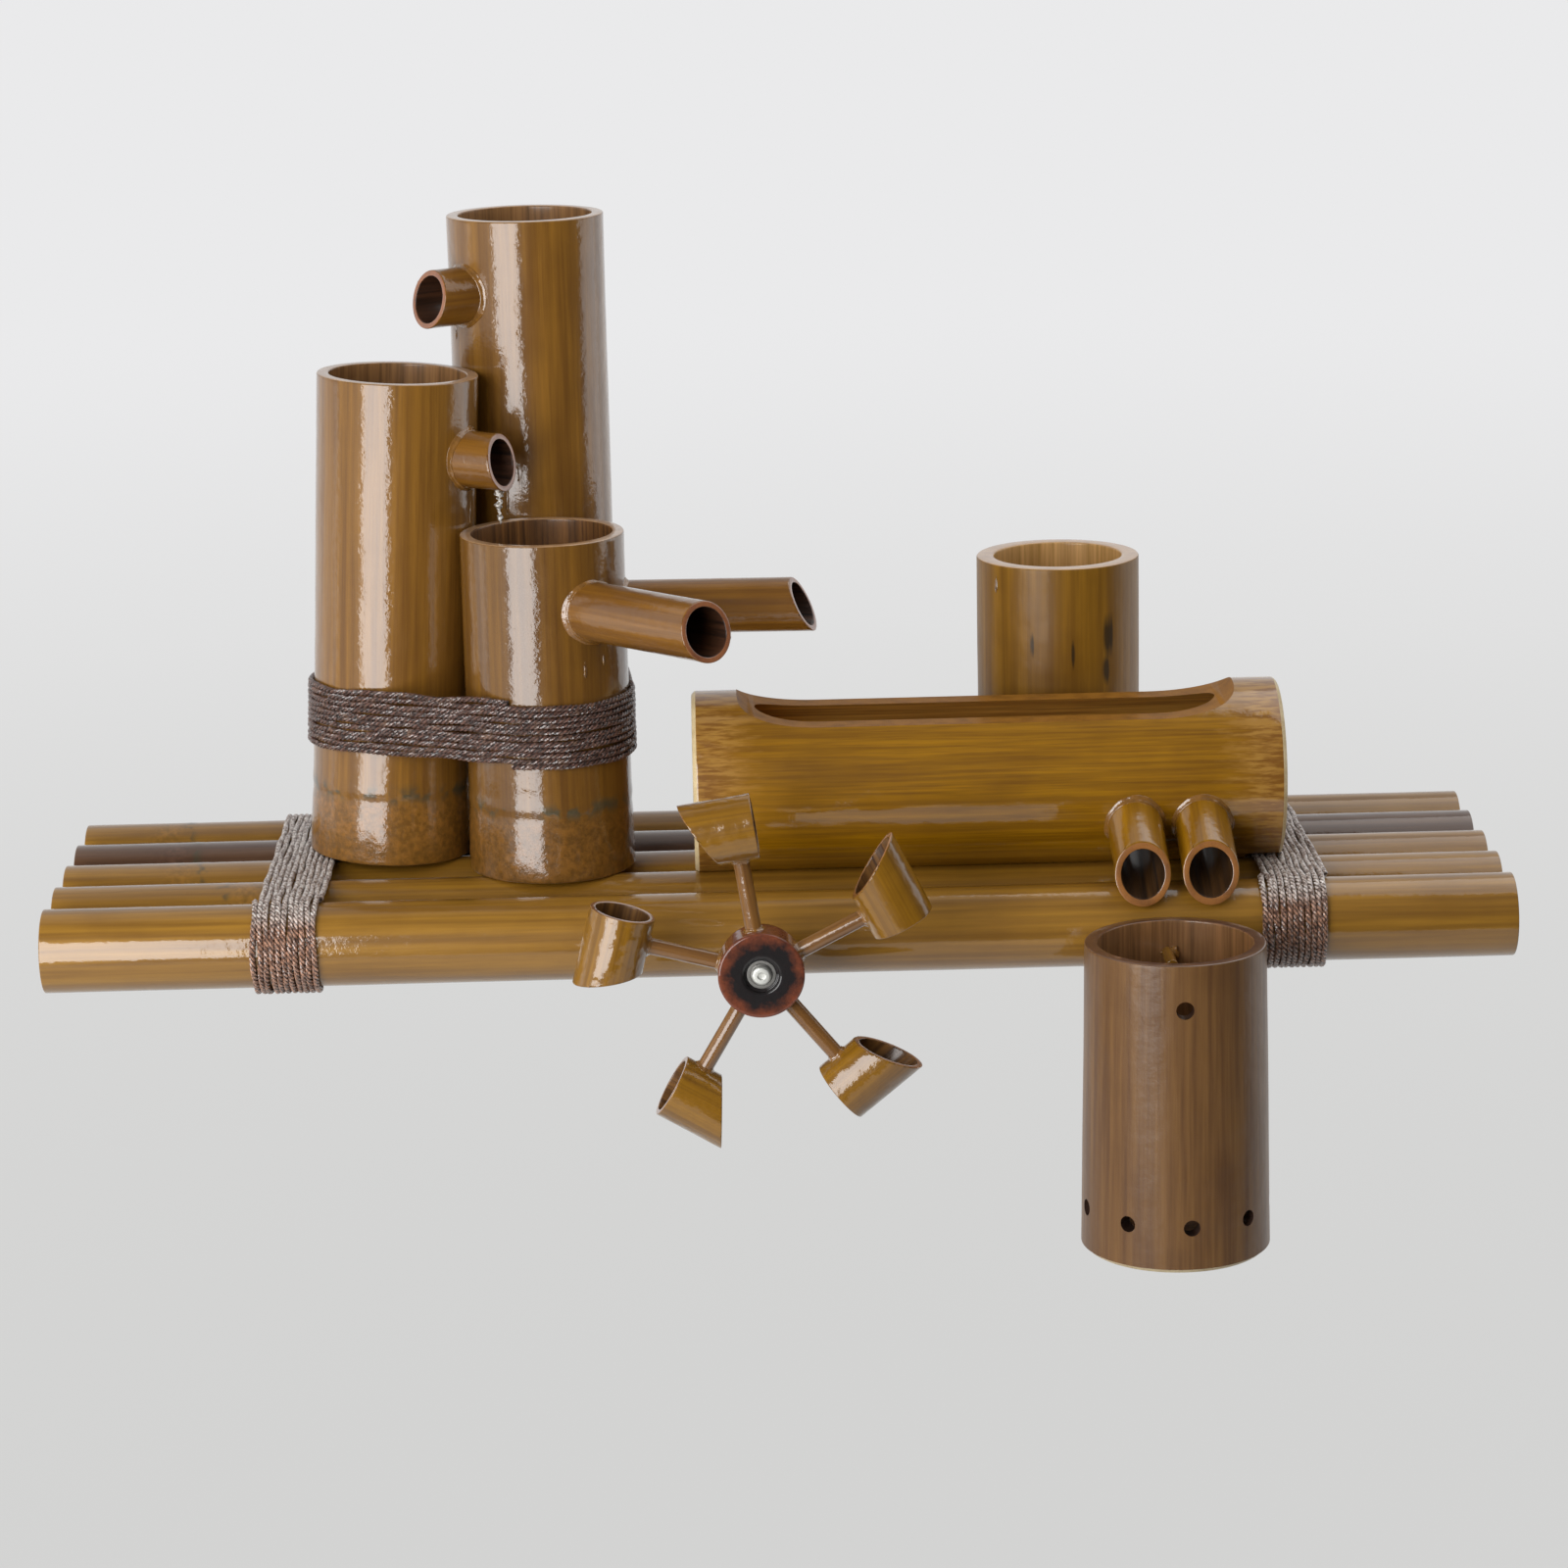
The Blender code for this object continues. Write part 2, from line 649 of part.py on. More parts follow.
def build_tube_spout(name, tube, tube_diameter, height, diameter, reach, bearing, rise,
                     cut_tilt, cut_skew):
    """A spout seated in a hole through a tube's wall."""
    outer = tube_diameter / 2
    inner = outer - TUBE_WALL
    location = (0, 0, height)
    rotation = aim(bearing, rise)
    build_spout(name, diameter, SPOUT_WALL, inner, outer + reach, cut_tilt, cut_skew,
                location, rotation, tube.parent, TUBE_BAMBOO)
    hole = rod_cutter(name + "_hole", diameter / 2 + CLEARANCE, inner / 2, outer + CUT_OVERRUN,
                      SPOUT_SIDES, location, rotation, tube.parent)
    cut(tube, hole)


def bearing_between(first, second):
    """The bearing from one place to another."""
    return math.atan2(second.y - first.y, second.x - first.x)


def build_tubes(raft):
    """The three tubes, their spouts and their cord."""
    tall_stand = new_empty("tall_place", (*TALL_PLACE, RAFT_TOP), raft)
    mid_stand = new_empty("mid_place", (MID_X, MID_Y, MID_FOOT_Z), raft)
    mid_stand.rotation_euler = (0, MID_LEAN, 0)
    short_stand = new_empty("short_place", (*SHORT_PLACE, RAFT_TOP), raft)
    tall = build_tube("tall_tube", TALL_DIAMETER, TALL_HEIGHT, tall_stand)
    mid = build_tube("mid_tube", MID_DIAMETER, MID_HEIGHT, mid_stand)
    short = build_tube("short_tube", SHORT_DIAMETER, SHORT_HEIGHT, short_stand)
    cut_hose_hole(tall)
    mid_top = mid_centre(MID_HEIGHT)
    build_tube_spout("tall_spout", tall, TALL_DIAMETER, TALL_HEIGHT - TALL_SPOUT_DROP,
                     TALL_SPOUT_DIAMETER, TALL_SPOUT_REACH, bearing_between(TALL_PLACE, mid_top),
                     0, SPOUT_CUT_TILT, 0)
    build_tube_spout("mid_spout", mid, MID_DIAMETER, MID_HEIGHT - MID_SPOUT_DROP,
                     MID_SPOUT_DIAMETER, MID_SPOUT_REACH, bearing_between(mid_top, SHORT_PLACE),
                     0, SPOUT_CUT_TILT, 0)
    build_tube_spout("front_spout", short, SHORT_DIAMETER, SHORT_HEIGHT - FRONT_SPOUT_DROP,
                     FRONT_SPOUT_DIAMETER, FRONT_SPOUT_REACH, FRONT_SPOUT_BEARING,
                     FRONT_SPOUT_RISE, SPOUT_CUT_TILT, 0)
    build_tube_spout("rear_spout", short, SHORT_DIAMETER, SHORT_HEIGHT - REAR_SPOUT_DROP,
                     REAR_SPOUT_DIAMETER, REAR_SPOUT_REACH, REAR_SPOUT_BEARING, 0,
                     REAR_SPOUT_CUT_TILT, REAR_SPOUT_CUT_SKEW)
    build_tube_lashing(raft)
    return tall, mid, short


# Trough


def scoop_outline():
    """The trough's mouth from the side: flat in the middle, swept up at both ends."""
    half = TROUGH_MOUTH_LENGTH / 2
    flat = half - TROUGH_SCOOP_LENGTH
    low = TROUGH_RADIUS - TROUGH_MOUTH_DEPTH
    above = TROUGH_RADIUS + CUT_OVERRUN
    right = []
    for step in range(SCOOP_STEPS + 1):
        angle = math.pi / 2 * step / SCOOP_STEPS
        right.append((flat + TROUGH_SCOOP_LENGTH * math.sin(angle),
                      low + TROUGH_MOUTH_DEPTH * (1 - math.cos(angle))))
    right.append((half, above))
    return right + [(-x, z) for x, z in reversed(right)]


def trough_profile():
    """The trough as a culm along local Z with its end walls set back."""
    half = TROUGH_LENGTH / 2
    inner = TROUGH_RADIUS - TROUGH_END_RIM
    recess = half - TROUGH_END_RECESS
    return [(0, recess), (inner, recess), (inner, half), (TROUGH_RADIUS - TROUGH_EDGE, half),
            (TROUGH_RADIUS, half - TROUGH_EDGE), (TROUGH_RADIUS, TROUGH_EDGE - half),
            (TROUGH_RADIUS - TROUGH_EDGE, -half), (inner, -half), (inner, -recess), (0, -recess)]


def build_trough(raft):
    """The trough let into the valley between two poles, with its two spouts."""
    middle = (TROUGH_X, TROUGH_Y, TROUGH_Z)
    trough = turned("trough", trough_profile(), TUBE_SIDES)
    place(trough, middle, (0, math.pi / 2, 0), raft)
    give_finish(trough, TROUGH_BAMBOO)
    mouth = outline_cutter("trough_mouth", scoop_outline(), TROUGH_DIAMETER + CUT_OVERRUN)
    place(mouth, middle, (math.pi / 2, 0, 0), raft)
    cut(trough, mouth)
    hollow = TROUGH_LENGTH / 2 - TROUGH_END_RECESS - TROUGH_END_WALL
    inner = TROUGH_RADIUS - TROUGH_WALL
    cut(trough, rod_cutter("trough_hollow", inner, -hollow, hollow, TUBE_SIDES, middle,
                           (0, math.pi / 2, 0), raft))
    seat_trough(trough, raft)
    build_trough_spouts(trough, inner, raft)
    return trough


def seat_trough(trough, raft):
    """Lets the trough's underside in over the two poles and the right lashing."""
    for index in TROUGH_POLES:
        cut(trough, rod_cutter(f"saddle_{index}", POLE_RADIUS + CLEARANCE, -TROUGH_LENGTH,
                               TROUGH_LENGTH, POLE_SIDES, (TROUGH_X, pole_y(index), POLE_RADIUS),
                               (0, math.pi / 2, 0), raft))
    relief_edge = LASHING_RIGHT_X - BAND_HALF_WIDTH - CLEARANCE
    corner = Matrix.Translation((relief_edge + TROUGH_DIAMETER, TROUGH_Y, CORD_TOP + CLEARANCE))
    cut(trough, block_cutter("lashing_relief", TROUGH_DIAMETER * 2,
                             corner @ Matrix.Rotation(math.pi, 4, "X"), raft))


def build_trough_spouts(trough, inner, raft):
    """The two spouts through the trough's front wall, falling to the front."""
    rotation = aim(-math.pi / 2, -TROUGH_SPOUT_FALL)
    right = TROUGH_X + TROUGH_LENGTH / 2 - TROUGH_SPOUT_FROM_END + TROUGH_SPOUT_PITCH / 2
    for side, x in (("left", right - TROUGH_SPOUT_PITCH), ("right", right)):
        name = "trough_spout_" + side
        location = (x, TROUGH_Y, TROUGH_Z)
        build_spout(name, TROUGH_SPOUT_DIAMETER, TROUGH_SPOUT_WALL, inner,
                    TROUGH_RADIUS + TROUGH_SPOUT_REACH, TROUGH_SPOUT_CUT_TILT, 0,
                    location, rotation, raft, TROUGH_BAMBOO)
        cut(trough, rod_cutter(name + "_hole", TROUGH_SPOUT_DIAMETER / 2 + CLEARANCE, inner / 2,
                               TROUGH_RADIUS + CUT_OVERRUN, SPOUT_SIDES, location, rotation, raft))


# Cup and pump housing


def vessel_profile(rim, foot, height, wall, floor_lift, floor, edge, foot_edge):
    """An open vessel whose floor is set up inside its foot. Rim and foot are radii.

    The bore is straight, and the wall is the one at the rim.
    """
    top = floor_lift + floor
    bore = rim - wall
    return [(0, top), (bore, top), (bore, height - edge), (bore + edge, height),
            (rim - edge, height), (rim, height - edge), (foot, foot_edge), (foot - foot_edge, 0),
            (bore, 0), (bore, floor_lift), (0, floor_lift)]


def build_cup(raft):
    """The cup behind the trough."""
    radius = CUP_DIAMETER / 2
    profile = vessel_profile(radius, radius, CUP_HEIGHT, CUP_WALL, CUP_FLOOR_LIFT, CUP_FLOOR,
                             CUP_EDGE, CUP_EDGE)
    cup = turned("back_cup", profile, TUBE_SIDES)
    place(cup, (CUP_X, CUP_Y, RAFT_TOP), (0, 0, 0), raft)
    give_finish(cup, CUP_BAMBOO)
    return cup


def build_housing_peg(housing, pole):
    """The peg through the housing's back wall into the front pole. Local Z points back."""
    height = HOUSING_HEIGHT - HOUSING_PEG_DROP
    inner = HOUSING_RIM_DIAMETER / 2 - HOUSING_WALL
    radius = HOUSING_PEG_DIAMETER / 2
    start = inner - HOUSING_PEG_INSIDE
    end = RAFT_FRONT - HOUSING_Y + HOUSING_PEG_IN_POLE
    profile = [(0, end), (radius - HOUSING_PEG_EDGE, end), (radius, end - HOUSING_PEG_EDGE),
               (radius, start + HOUSING_PEG_EDGE), (radius - HOUSING_PEG_EDGE, start), (0, start)]
    peg = turned("housing_peg", profile, SMALL_SIDES)
    place(peg, (0, 0, height), aim(math.pi / 2, 0), housing.parent)
    give_finish(peg, TUBE_BAMBOO)
    bore = rod_cutter("peg_bore", radius + CLEARANCE, inner - CUT_OVERRUN, end + CLEARANCE,
                      SMALL_SIDES, (0, 0, height), aim(math.pi / 2, 0), housing.parent)
    cut(housing, bore)
    cut(pole, bore)


def build_housing(raft, pole):
    """The pump housing with its ring of intake holes, against the front pole."""
    stand = new_empty("housing_place", (HOUSING_X, HOUSING_Y, HOUSING_Z), raft)
    rim, foot = HOUSING_RIM_DIAMETER / 2, HOUSING_FOOT_DIAMETER / 2
    profile = vessel_profile(rim, foot, HOUSING_HEIGHT, HOUSING_WALL, HOUSING_FLOOR_LIFT,
                             HOUSING_FLOOR, HOUSING_EDGE, HOUSING_FOOT_EDGE)
    housing = turned("pump_housing", profile, TUBE_SIDES)
    place(housing, (0, 0, 0), (0, 0, 0), stand)
    give_finish(housing, HOUSING_BAMBOO)
    low, high = rim - HOUSING_WALL - CUT_OVERRUN, foot + CUT_OVERRUN
    for number in range(INTAKE_COUNT):
        bearing = INTAKE_TURN - math.pi / 2 + math.tau * number / INTAKE_COUNT
        cut(housing, rod_cutter(f"intake_{number + 1}", INTAKE_DIAMETER / 2, low, high, SMALL_SIDES,
                                (0, 0, INTAKE_LIFT), aim(bearing, 0), stand))
    cut(housing, rod_cutter("upper_hole", UPPER_HOLE_DIAMETER / 2, low, high, SMALL_SIDES,
                            (0, 0, HOUSING_HEIGHT - UPPER_HOLE_DROP), aim(-math.pi / 2, 0), stand))
    build_housing_peg(housing, pole)


# Water wheel


def build_axle(raft, pole):
    """The bolt in the front pole with its spacer and washer. Local Z points to the front."""
    forward = (math.pi / 2, 0, 0)
    hub_back = WHEEL_STANDOFF - HUB_WIDTH / 2
    radius, head = AXLE_DIAMETER / 2, AXLE_HEAD_DIAMETER / 2
    head_low = hub_back + HUB_WIDTH + CLEARANCE - HUB_RECESS_DEPTH
    head_top = head_low + AXLE_HEAD_HEIGHT
    seat = (WHEEL_X, RAFT_FRONT, POLE_RADIUS)
    bolt = turned("axle_bolt", [(0, head_top), (head - AXLE_HEAD_EDGE, head_top),
                                (head, head_top - AXLE_HEAD_EDGE), (head, head_low),
                                (radius, head_low), (radius, AXLE_POINT - AXLE_IN_POLE),
                                (0, -AXLE_IN_POLE)], SMALL_SIDES * 2)
    place(bolt, seat, forward, raft)
    give_finish(bolt, STEEL)
    cut(pole, rod_cutter("axle_bore", radius + CLEARANCE, -AXLE_IN_POLE - CLEARANCE, CUT_OVERRUN,
                         SMALL_SIDES * 2, seat, forward, raft))
    bore = radius + CLEARANCE
    washer_low = hub_back - CLEARANCE - WASHER_THICKNESS
    washer = turned("axle_washer", ring_profile(bore, WASHER_DIAMETER / 2, washer_low,
                                                washer_low + WASHER_THICKNESS), SPOUT_SIDES, loop=True)
    place(washer, seat, forward, raft)
    give_finish(washer, ZINC)
    spacer = turned("axle_spacer", ring_profile(bore, SPACER_DIAMETER / 2, CLEARANCE,
                                                washer_low - CLEARANCE), SPOUT_SIDES, loop=True)
    place(spacer, seat, forward, raft)
    give_finish(spacer, DOWEL_WOOD)


def ring_profile(bore, outer, low, high):
    """A plain ring from low to high."""
    return [(bore, high), (outer, high), (outer, low), (bore, low)]


def build_hub(wheel):
    """The wheel's hub, with a steel bush let into it."""
    half = HUB_WIDTH / 2
    outer, bush = HUB_DIAMETER / 2, BUSH_DIAMETER / 2
    recess = HUB_RECESS_DIAMETER / 2
    profile = [(bush + CLEARANCE, half - HUB_RECESS_DEPTH), (recess, half - HUB_RECESS_DEPTH),
               (recess, half), (outer - HUB_EDGE, half), (outer, half - HUB_EDGE),
               (outer, HUB_EDGE - half), (outer - HUB_EDGE, -half), (bush + CLEARANCE, -half)]
    hub = turned("wheel_hub", profile, POLE_SIDES, loop=True)
    place(hub, (0, 0, 0), (math.pi / 2, 0, 0), wheel)
    give_finish(hub, HUB_WOOD)
    steel = turned("hub_bush", ring_profile(AXLE_DIAMETER / 2 + CLEARANCE, bush, -half,
                                            half - HUB_RECESS_DEPTH), POLE_SIDES, loop=True)
    place(steel, (0, 0, 0), (math.pi / 2, 0, 0), wheel)
    give_finish(steel, STEEL)
    return hub


def wheel_cup_profile(low, high):
    """A wheel cup along local Z, with a floor at the arm between two open ends."""
    inner = WHEEL_CUP_OUTER - WHEEL_CUP_WALL
    floor = WHEEL_CUP_FLOOR / 2
    return [(0, floor), (inner, floor), (inner, high), (WHEEL_CUP_OUTER, high),
            (WHEEL_CUP_OUTER, low + WHEEL_CUP_EDGE), (WHEEL_CUP_OUTER - WHEEL_CUP_EDGE, low),
            (inner, low), (inner, -floor), (0, -floor)]


def build_arm_and_cup(number, hub, wheel):
    """One arm from its socket in the hub to its seat in the wall of a cup."""
    angle = math.radians(WHEEL_BEARINGS[number])
    short_side, long_side = WHEEL_CUP_SHORT_SIDES[number], WHEEL_CUP_LONG_SIDES[number]
    outward = Vector((math.cos(angle), 0, math.sin(angle)))
    spoke = (0, math.pi / 2 - angle, 0)
    radius = ARM_DIAMETER / 2
    start = HUB_DIAMETER / 2 - ARM_SOCKET_DEPTH
    cup_side = WHEEL_CUP_RADIUS - WHEEL_CUP_OUTER
    end = cup_side + ARM_SEAT_DEPTH
    arm = turned(f"wheel_arm_{number + 1}", [(0, end), (radius - ARM_EDGE, end),
                                             (radius, end - ARM_EDGE), (radius, start), (0, start)],
                 SMALL_SIDES)
    place(arm, (0, 0, 0), spoke, wheel)
    give_finish(arm, TUBE_BAMBOO)
    cut(hub, rod_cutter(f"arm_socket_{number + 1}", radius + CLEARANCE, start - CLEARANCE,
                        HUB_DIAMETER / 2 + CUT_OVERRUN, SMALL_SIDES, (0, 0, 0), spoke, wheel))
    profile = wheel_cup_profile(-short_side / 2, long_side - short_side / 2 + CUT_OVERRUN)
    cup = turned(f"wheel_cup_{number + 1}", profile, SPOUT_SIDES)
    middle = outward * WHEEL_CUP_RADIUS
    place(cup, middle, (0, -angle, 0), wheel)
    give_finish(cup, TUBE_BAMBOO)
    slant = math.atan2(long_side - short_side, WHEEL_CUP_DIAMETER)
    trim = (Matrix.Translation(middle) @ Matrix.Rotation(-angle, 4, "Y")
            @ Matrix.Translation((0, 0, long_side / 2)) @ Matrix.Rotation(-slant, 4, "Y"))
    cut(cup, block_cutter(f"cup_trim_{number + 1}", WHEEL_CUP_DIAMETER * 3, trim, wheel))
    cut(cup, rod_cutter(f"cup_seat_{number + 1}", radius + CLEARANCE, cup_side - CUT_OVERRUN,
                        end + CLEARANCE, SMALL_SIDES, (0, 0, 0), spoke, wheel))


def build_wheel():
    """The wheel on its axis, which the empty carries."""
    wheel = new_empty("wheel_axis", (WHEEL_X, WHEEL_Y, POLE_RADIUS))
    hub = build_hub(wheel)
    for number in range(len(WHEEL_BEARINGS)):
        build_arm_and_cup(number, hub, wheel)


# Screws


def screw_profile(length, head_low, grow):
    """A pan-head screw up local Z from its head's seat, grown by a clearance."""
    radius = SCREW_DIAMETER / 2 + grow
    head = SCREW_HEAD_DIAMETER / 2 + grow
    return [(0, length + grow), (radius, length + grow - SCREW_POINT), (radius, grow), (head, grow),
            (head, head_low), (0, head_low)]


def build_screw(name, length, location, rotation, raft, carriers):
    """A screw with its hole and counterbore cut out of the pieces that it joins."""
    screw = turned(name, screw_profile(length, -SCREW_HEAD_HEIGHT, 0), SCREW_SIDES)
    place(screw, location, rotation, raft)
    give_finish(screw, ZINC)
    hole = turned(name + "_hole", screw_profile(length, -SCREW_SINK - CUT_OVERRUN, CLEARANCE),
                  SCREW_SIDES, CUTTERS)
    place(make_cutter(hole), location, rotation, raft)
    for carrier in carriers:
        cut(carrier, hole)


def upright_screw(name, spot, diameter, wall, pole_index, side, raft, pole, vessel):
    """A screw up through a pole into the wall of what stands on it."""
    wall_radius = (diameter - wall) / 2
    y = pole_y(pole_index)
    x = spot.x + side * math.sqrt(wall_radius ** 2 - (y - spot.y) ** 2)
    length = RAFT_TOP - SCREW_SINK + SCREW_BITE
    build_screw(name, length, (x, y, SCREW_SINK), (0, 0, 0), raft, (pole, vessel))


def build_screws(raft, poles, tubes, trough, cup):
    """The screws that hold the tubes, the cup and the trough to the poles."""
    tall, mid, short = tubes
    cup_place = Vector((CUP_X, CUP_Y))
    table = (("short", SHORT_PLACE, SHORT_DIAMETER, TUBE_WALL, short, ((1, -1), (2, 1))),
             ("mid", mid_centre(SCREW_BITE / 2), MID_DIAMETER, TUBE_WALL, mid, ((2, 1), (3, 1))),
             ("tall", TALL_PLACE, TALL_DIAMETER, TUBE_WALL, tall, ((3, 1), (4, -1))),
             ("cup", cup_place, CUP_DIAMETER, CUP_WALL, cup, ((3, -1), (4, 1))))
    for label, spot, diameter, wall, vessel, seats in table:
        for number, (pole_index, side) in enumerate(seats):
            upright_screw(f"{label}_screw_{number + 1}", spot, diameter, wall, pole_index, side,
                          raft, poles[pole_index], vessel)
    across = math.asin(POLE_PITCH / 2 / TROUGH_SEAT)
    reach = TROUGH_LENGTH / 2 - TROUGH_SCREW_FROM_END
    for number, pole_index in enumerate(TROUGH_POLES):
        lean = across if number else -across
        x = TROUGH_X + (reach if number else -reach)
        inset = POLE_RADIUS - SCREW_SINK
        location = (x, pole_y(pole_index) + inset * math.sin(lean), POLE_RADIUS - inset * math.cos(lean))
        length = inset + POLE_RADIUS + CLEARANCE + TROUGH_SCREW_BITE
        build_screw(f"trough_screw_{number + 1}", length, location, (lean, 0, 0), raft,
                    (poles[pole_index], trough))


def main():
    """Builds the whole object."""
    raft = new_empty("raft_origin", (0, 0, 0))
    poles = build_poles(raft)
    build_dowels(raft, poles)
    build_raft_lashings(raft)
    tubes = build_tubes(raft)
    trough = build_trough(raft)
    cup = build_cup(raft)
    build_axle(raft, poles[0])
    build_screws(raft, poles, tubes, trough, cup)
    build_housing(raft, poles[0])
    build_wheel()
    for item in PARTS.objects:
        if item.type == "MESH":
            smooth(item)


clear_scene()
PARTS = new_collection("bamboo_water_spout")
CUTTERS = new_collection("cutters")
main()
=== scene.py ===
"""Dresses the bamboo water spout: varnished culms, twisted cord, a charred hub and its steel."""

import math

import bmesh
import bpy
from bpy.props import FloatProperty, FloatVectorProperty, IntProperty, PointerProperty
from mathutils import Matrix, Vector, noise
from mathutils.kdtree import KDTree


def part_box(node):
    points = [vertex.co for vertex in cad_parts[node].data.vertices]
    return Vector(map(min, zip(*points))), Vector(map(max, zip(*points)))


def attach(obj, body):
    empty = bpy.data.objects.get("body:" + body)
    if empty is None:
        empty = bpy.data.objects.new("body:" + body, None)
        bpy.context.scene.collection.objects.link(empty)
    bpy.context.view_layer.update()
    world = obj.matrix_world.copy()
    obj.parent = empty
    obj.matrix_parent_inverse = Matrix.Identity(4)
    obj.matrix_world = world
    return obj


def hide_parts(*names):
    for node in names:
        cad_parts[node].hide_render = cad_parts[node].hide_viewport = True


bl_info = {
    "name": "Bamboo water spout",
    "version": (1, 0, 0),
    "blender": (4, 5, 0),
    "location": "3D View > Sidebar > Water spout",
    "description": "Builds the pieces of a bamboo water spout and their finishes",
    "category": "Object",
}

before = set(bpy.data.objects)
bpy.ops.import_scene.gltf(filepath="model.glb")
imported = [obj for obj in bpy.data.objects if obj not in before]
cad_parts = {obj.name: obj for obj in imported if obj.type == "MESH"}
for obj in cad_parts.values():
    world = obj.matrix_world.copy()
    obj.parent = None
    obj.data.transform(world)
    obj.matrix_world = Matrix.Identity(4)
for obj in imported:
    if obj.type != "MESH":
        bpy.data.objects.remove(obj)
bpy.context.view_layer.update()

# Places and sizes in millimetres, the same as in the solids
POLE_NAMES = ("pole_front", "pole_second", "pole_middle", "pole_fourth", "pole_rear")
POLE_RADIUS = 22.85
POLE_WALL = 5.2
POLE_END = 400
POLE_PITCH = 46.0
POLE_Z = 22.85
LEFT_HOLLOWS = (105, 94.6, 77.7, 69.0, 60.4)
RIGHT_HOLLOW = 58
RAFT_TOP = 46.0
RAFT_LASHINGS = (("left", -266.6), ("right", 280.0))
TUBE_WALL = 6.6
TUBE_FLOOR, TUBE_FLOOR_THICKNESS = 42.75, 5.5
TALL_PLACE, TALL_RADIUS = (-132.130, 73.227, RAFT_TOP), 44.0
MID_PLACE, MID_RADIUS = (-217.5, 19.3, 48.429), 44.65
MID_LEAN = math.radians(3.0494)
MID_HEIGHT = 270.0
MID_SPOUT_HEIGHT = 226.5
SHORT_PLACE, SHORT_RADIUS = (-125.152, -18.107, RAFT_TOP), 45.3
FRONT_BEARING = math.radians(-52)
FRONT_RISE = math.radians(2)
REAR_BEARING = math.radians(-2)
SPOUT_WALL = 3.2
HOSE_HOLE_HEIGHT = 65
TUBE_LASHING_HEIGHT = 129.8
TROUGH_MIDDLE = (117.0, -23.0, 91.343)
TROUGH_RADIUS = 51
TROUGH_FALL = math.radians(21.4)
TROUGH_SPOUT_DIAMETER = 30.5
TROUGH_SPOUT_WALL = 3.6
CUP_PLACE = (166.0, 77.0, RAFT_TOP)
CUP_RADIUS = 46.5
CUP_WALL = 10
HOUSING_PLACE = (208.2, -163.446, -135.8)
HOUSING_HEIGHT = 168.5
HOUSING_FOOT_RADIUS, HOUSING_BORE = 50.65, 41.15
PEG_HEIGHT = 150.5
WHEEL_MIDDLE = (-11.4, -164.95, POLE_Z)
WHEEL_BEARINGS = (27, 98.8, 165.6, 239.4, 309.6)
HUB_RADIUS = 23
ARM_RADIUS = 4.4
CUP_REACH = 78.5
WHEEL_CUP_RADIUS = 17.5
WHEEL_CUP_BORE = 14.5
CUP_SHORT_SIDES = (24.5, 21.0, 30.0, 21.0, 24.5)
CUP_LONG_SIDES = (46.0, 38.5, 43.5, 40.0, 43.0)
SCREW_SINK = 4.0
TROUGH_SCREW_LEAN = math.asin(23 / 74.15)
TROUGH_SCREW_REACH = 112.5
TROUGH_SCREW_LENGTH = 48.2

# Each weathered mark on the cup: its bearing, height, half width and half length
CUP_SCARS = ((-1.98, 106, 1.6, 9), (-1.45, 101, 1.7, 10), (-0.98, 110, 4.6, 15), (-1.02, 90, 3.2, 10))

# Each stain: what it is for, and its colour
STAINS = {"tube": ("Upright tubes", "Stain of the three upright tubes", "7E561E"),
          "spout": ("Spouts", "Stain of the tubes' thin spouts", "7A5018"),
          "pole": ("Poles", "Stain of the raft's four golden poles", "8A6220"),
          "dark_pole": ("Dark pole", "Stain of the raft's dark pole", "5A3E2A"),
          "trough": ("Trough", "Stain of the trough and its spouts", "8C6004"),
          "cup": ("Cup", "Stain of the cup behind the trough", "7E5818"),
          "housing": ("Pump housing", "Stain of the pump housing", "6C4C2C"),
          "wheel": ("Wheel cups", "Stain of the wheel's cups", "80580E"),
          "arm": ("Wheel arms", "Stain of the wheel's arms", "765026"),
          "cord": ("Cord", "Colour of the cord's dry fibres", "D09C7E")}

# The camera: its place and turns, and its focal length in pixels of the photograph's width
CAMERA_PLACE = (-0.0308, -2.3986, 0.6763)
CAMERA_YAW, CAMERA_PITCH, CAMERA_ROLL = (math.radians(angle) for angle in (-0.861, 13.885, 1.238))
CAMERA_FOCUS = 4486.6
PHOTO_WIDTH = 1600
SENSOR_WIDTH = 36

FLOOR_Z = -0.45
# Each lamp's place, what it faces, its width, its height and its radiance
LAMPS = (("softbox", (-0.89, -1.40, 0.35), (0.0, -0.02, 0.35), 1.10, 1.5, 5.8),
         ("left_panel", (-1.75, -0.55, 0.3), (0.0, 0.0, 0.3), 1.5, 1.5, 0.55),
         ("right_panel", (1.70, 0.55, 0.3), (0.0, 0.0, 0.3), 1.2, 1.5, 0.5),
         ("high_right", (0.9, 0.3, 1.5), (0.0, 0.0, 0.1), 1.7, 1.3, 1.1))


def linear(hex_colour):
    """An sRGB hex colour as a linear one."""
    channels = [int(hex_colour[i:i + 2], 16) / 255 for i in (0, 2, 4)]
    return [c / 12.92 if c <= 0.04045 else ((c + 0.055) / 1.055) ** 2.4 for c in channels]


# Meshes


def sampled(profile, spacing, loop=False):
    """The profile with extra points, so that no stretch is longer than the spacing."""
    ends = profile[1:] + profile[:1] if loop else profile[1:]
    points = []
    for (r, z), (s, y) in zip(profile, ends):
        count = max(1, math.ceil(math.hypot(s - r, y - z) / spacing))
        points += [(r + (s - r) * i / count, z + (y - z) * i / count) for i in range(count)]
    return points if loop else points + [profile[-1]]


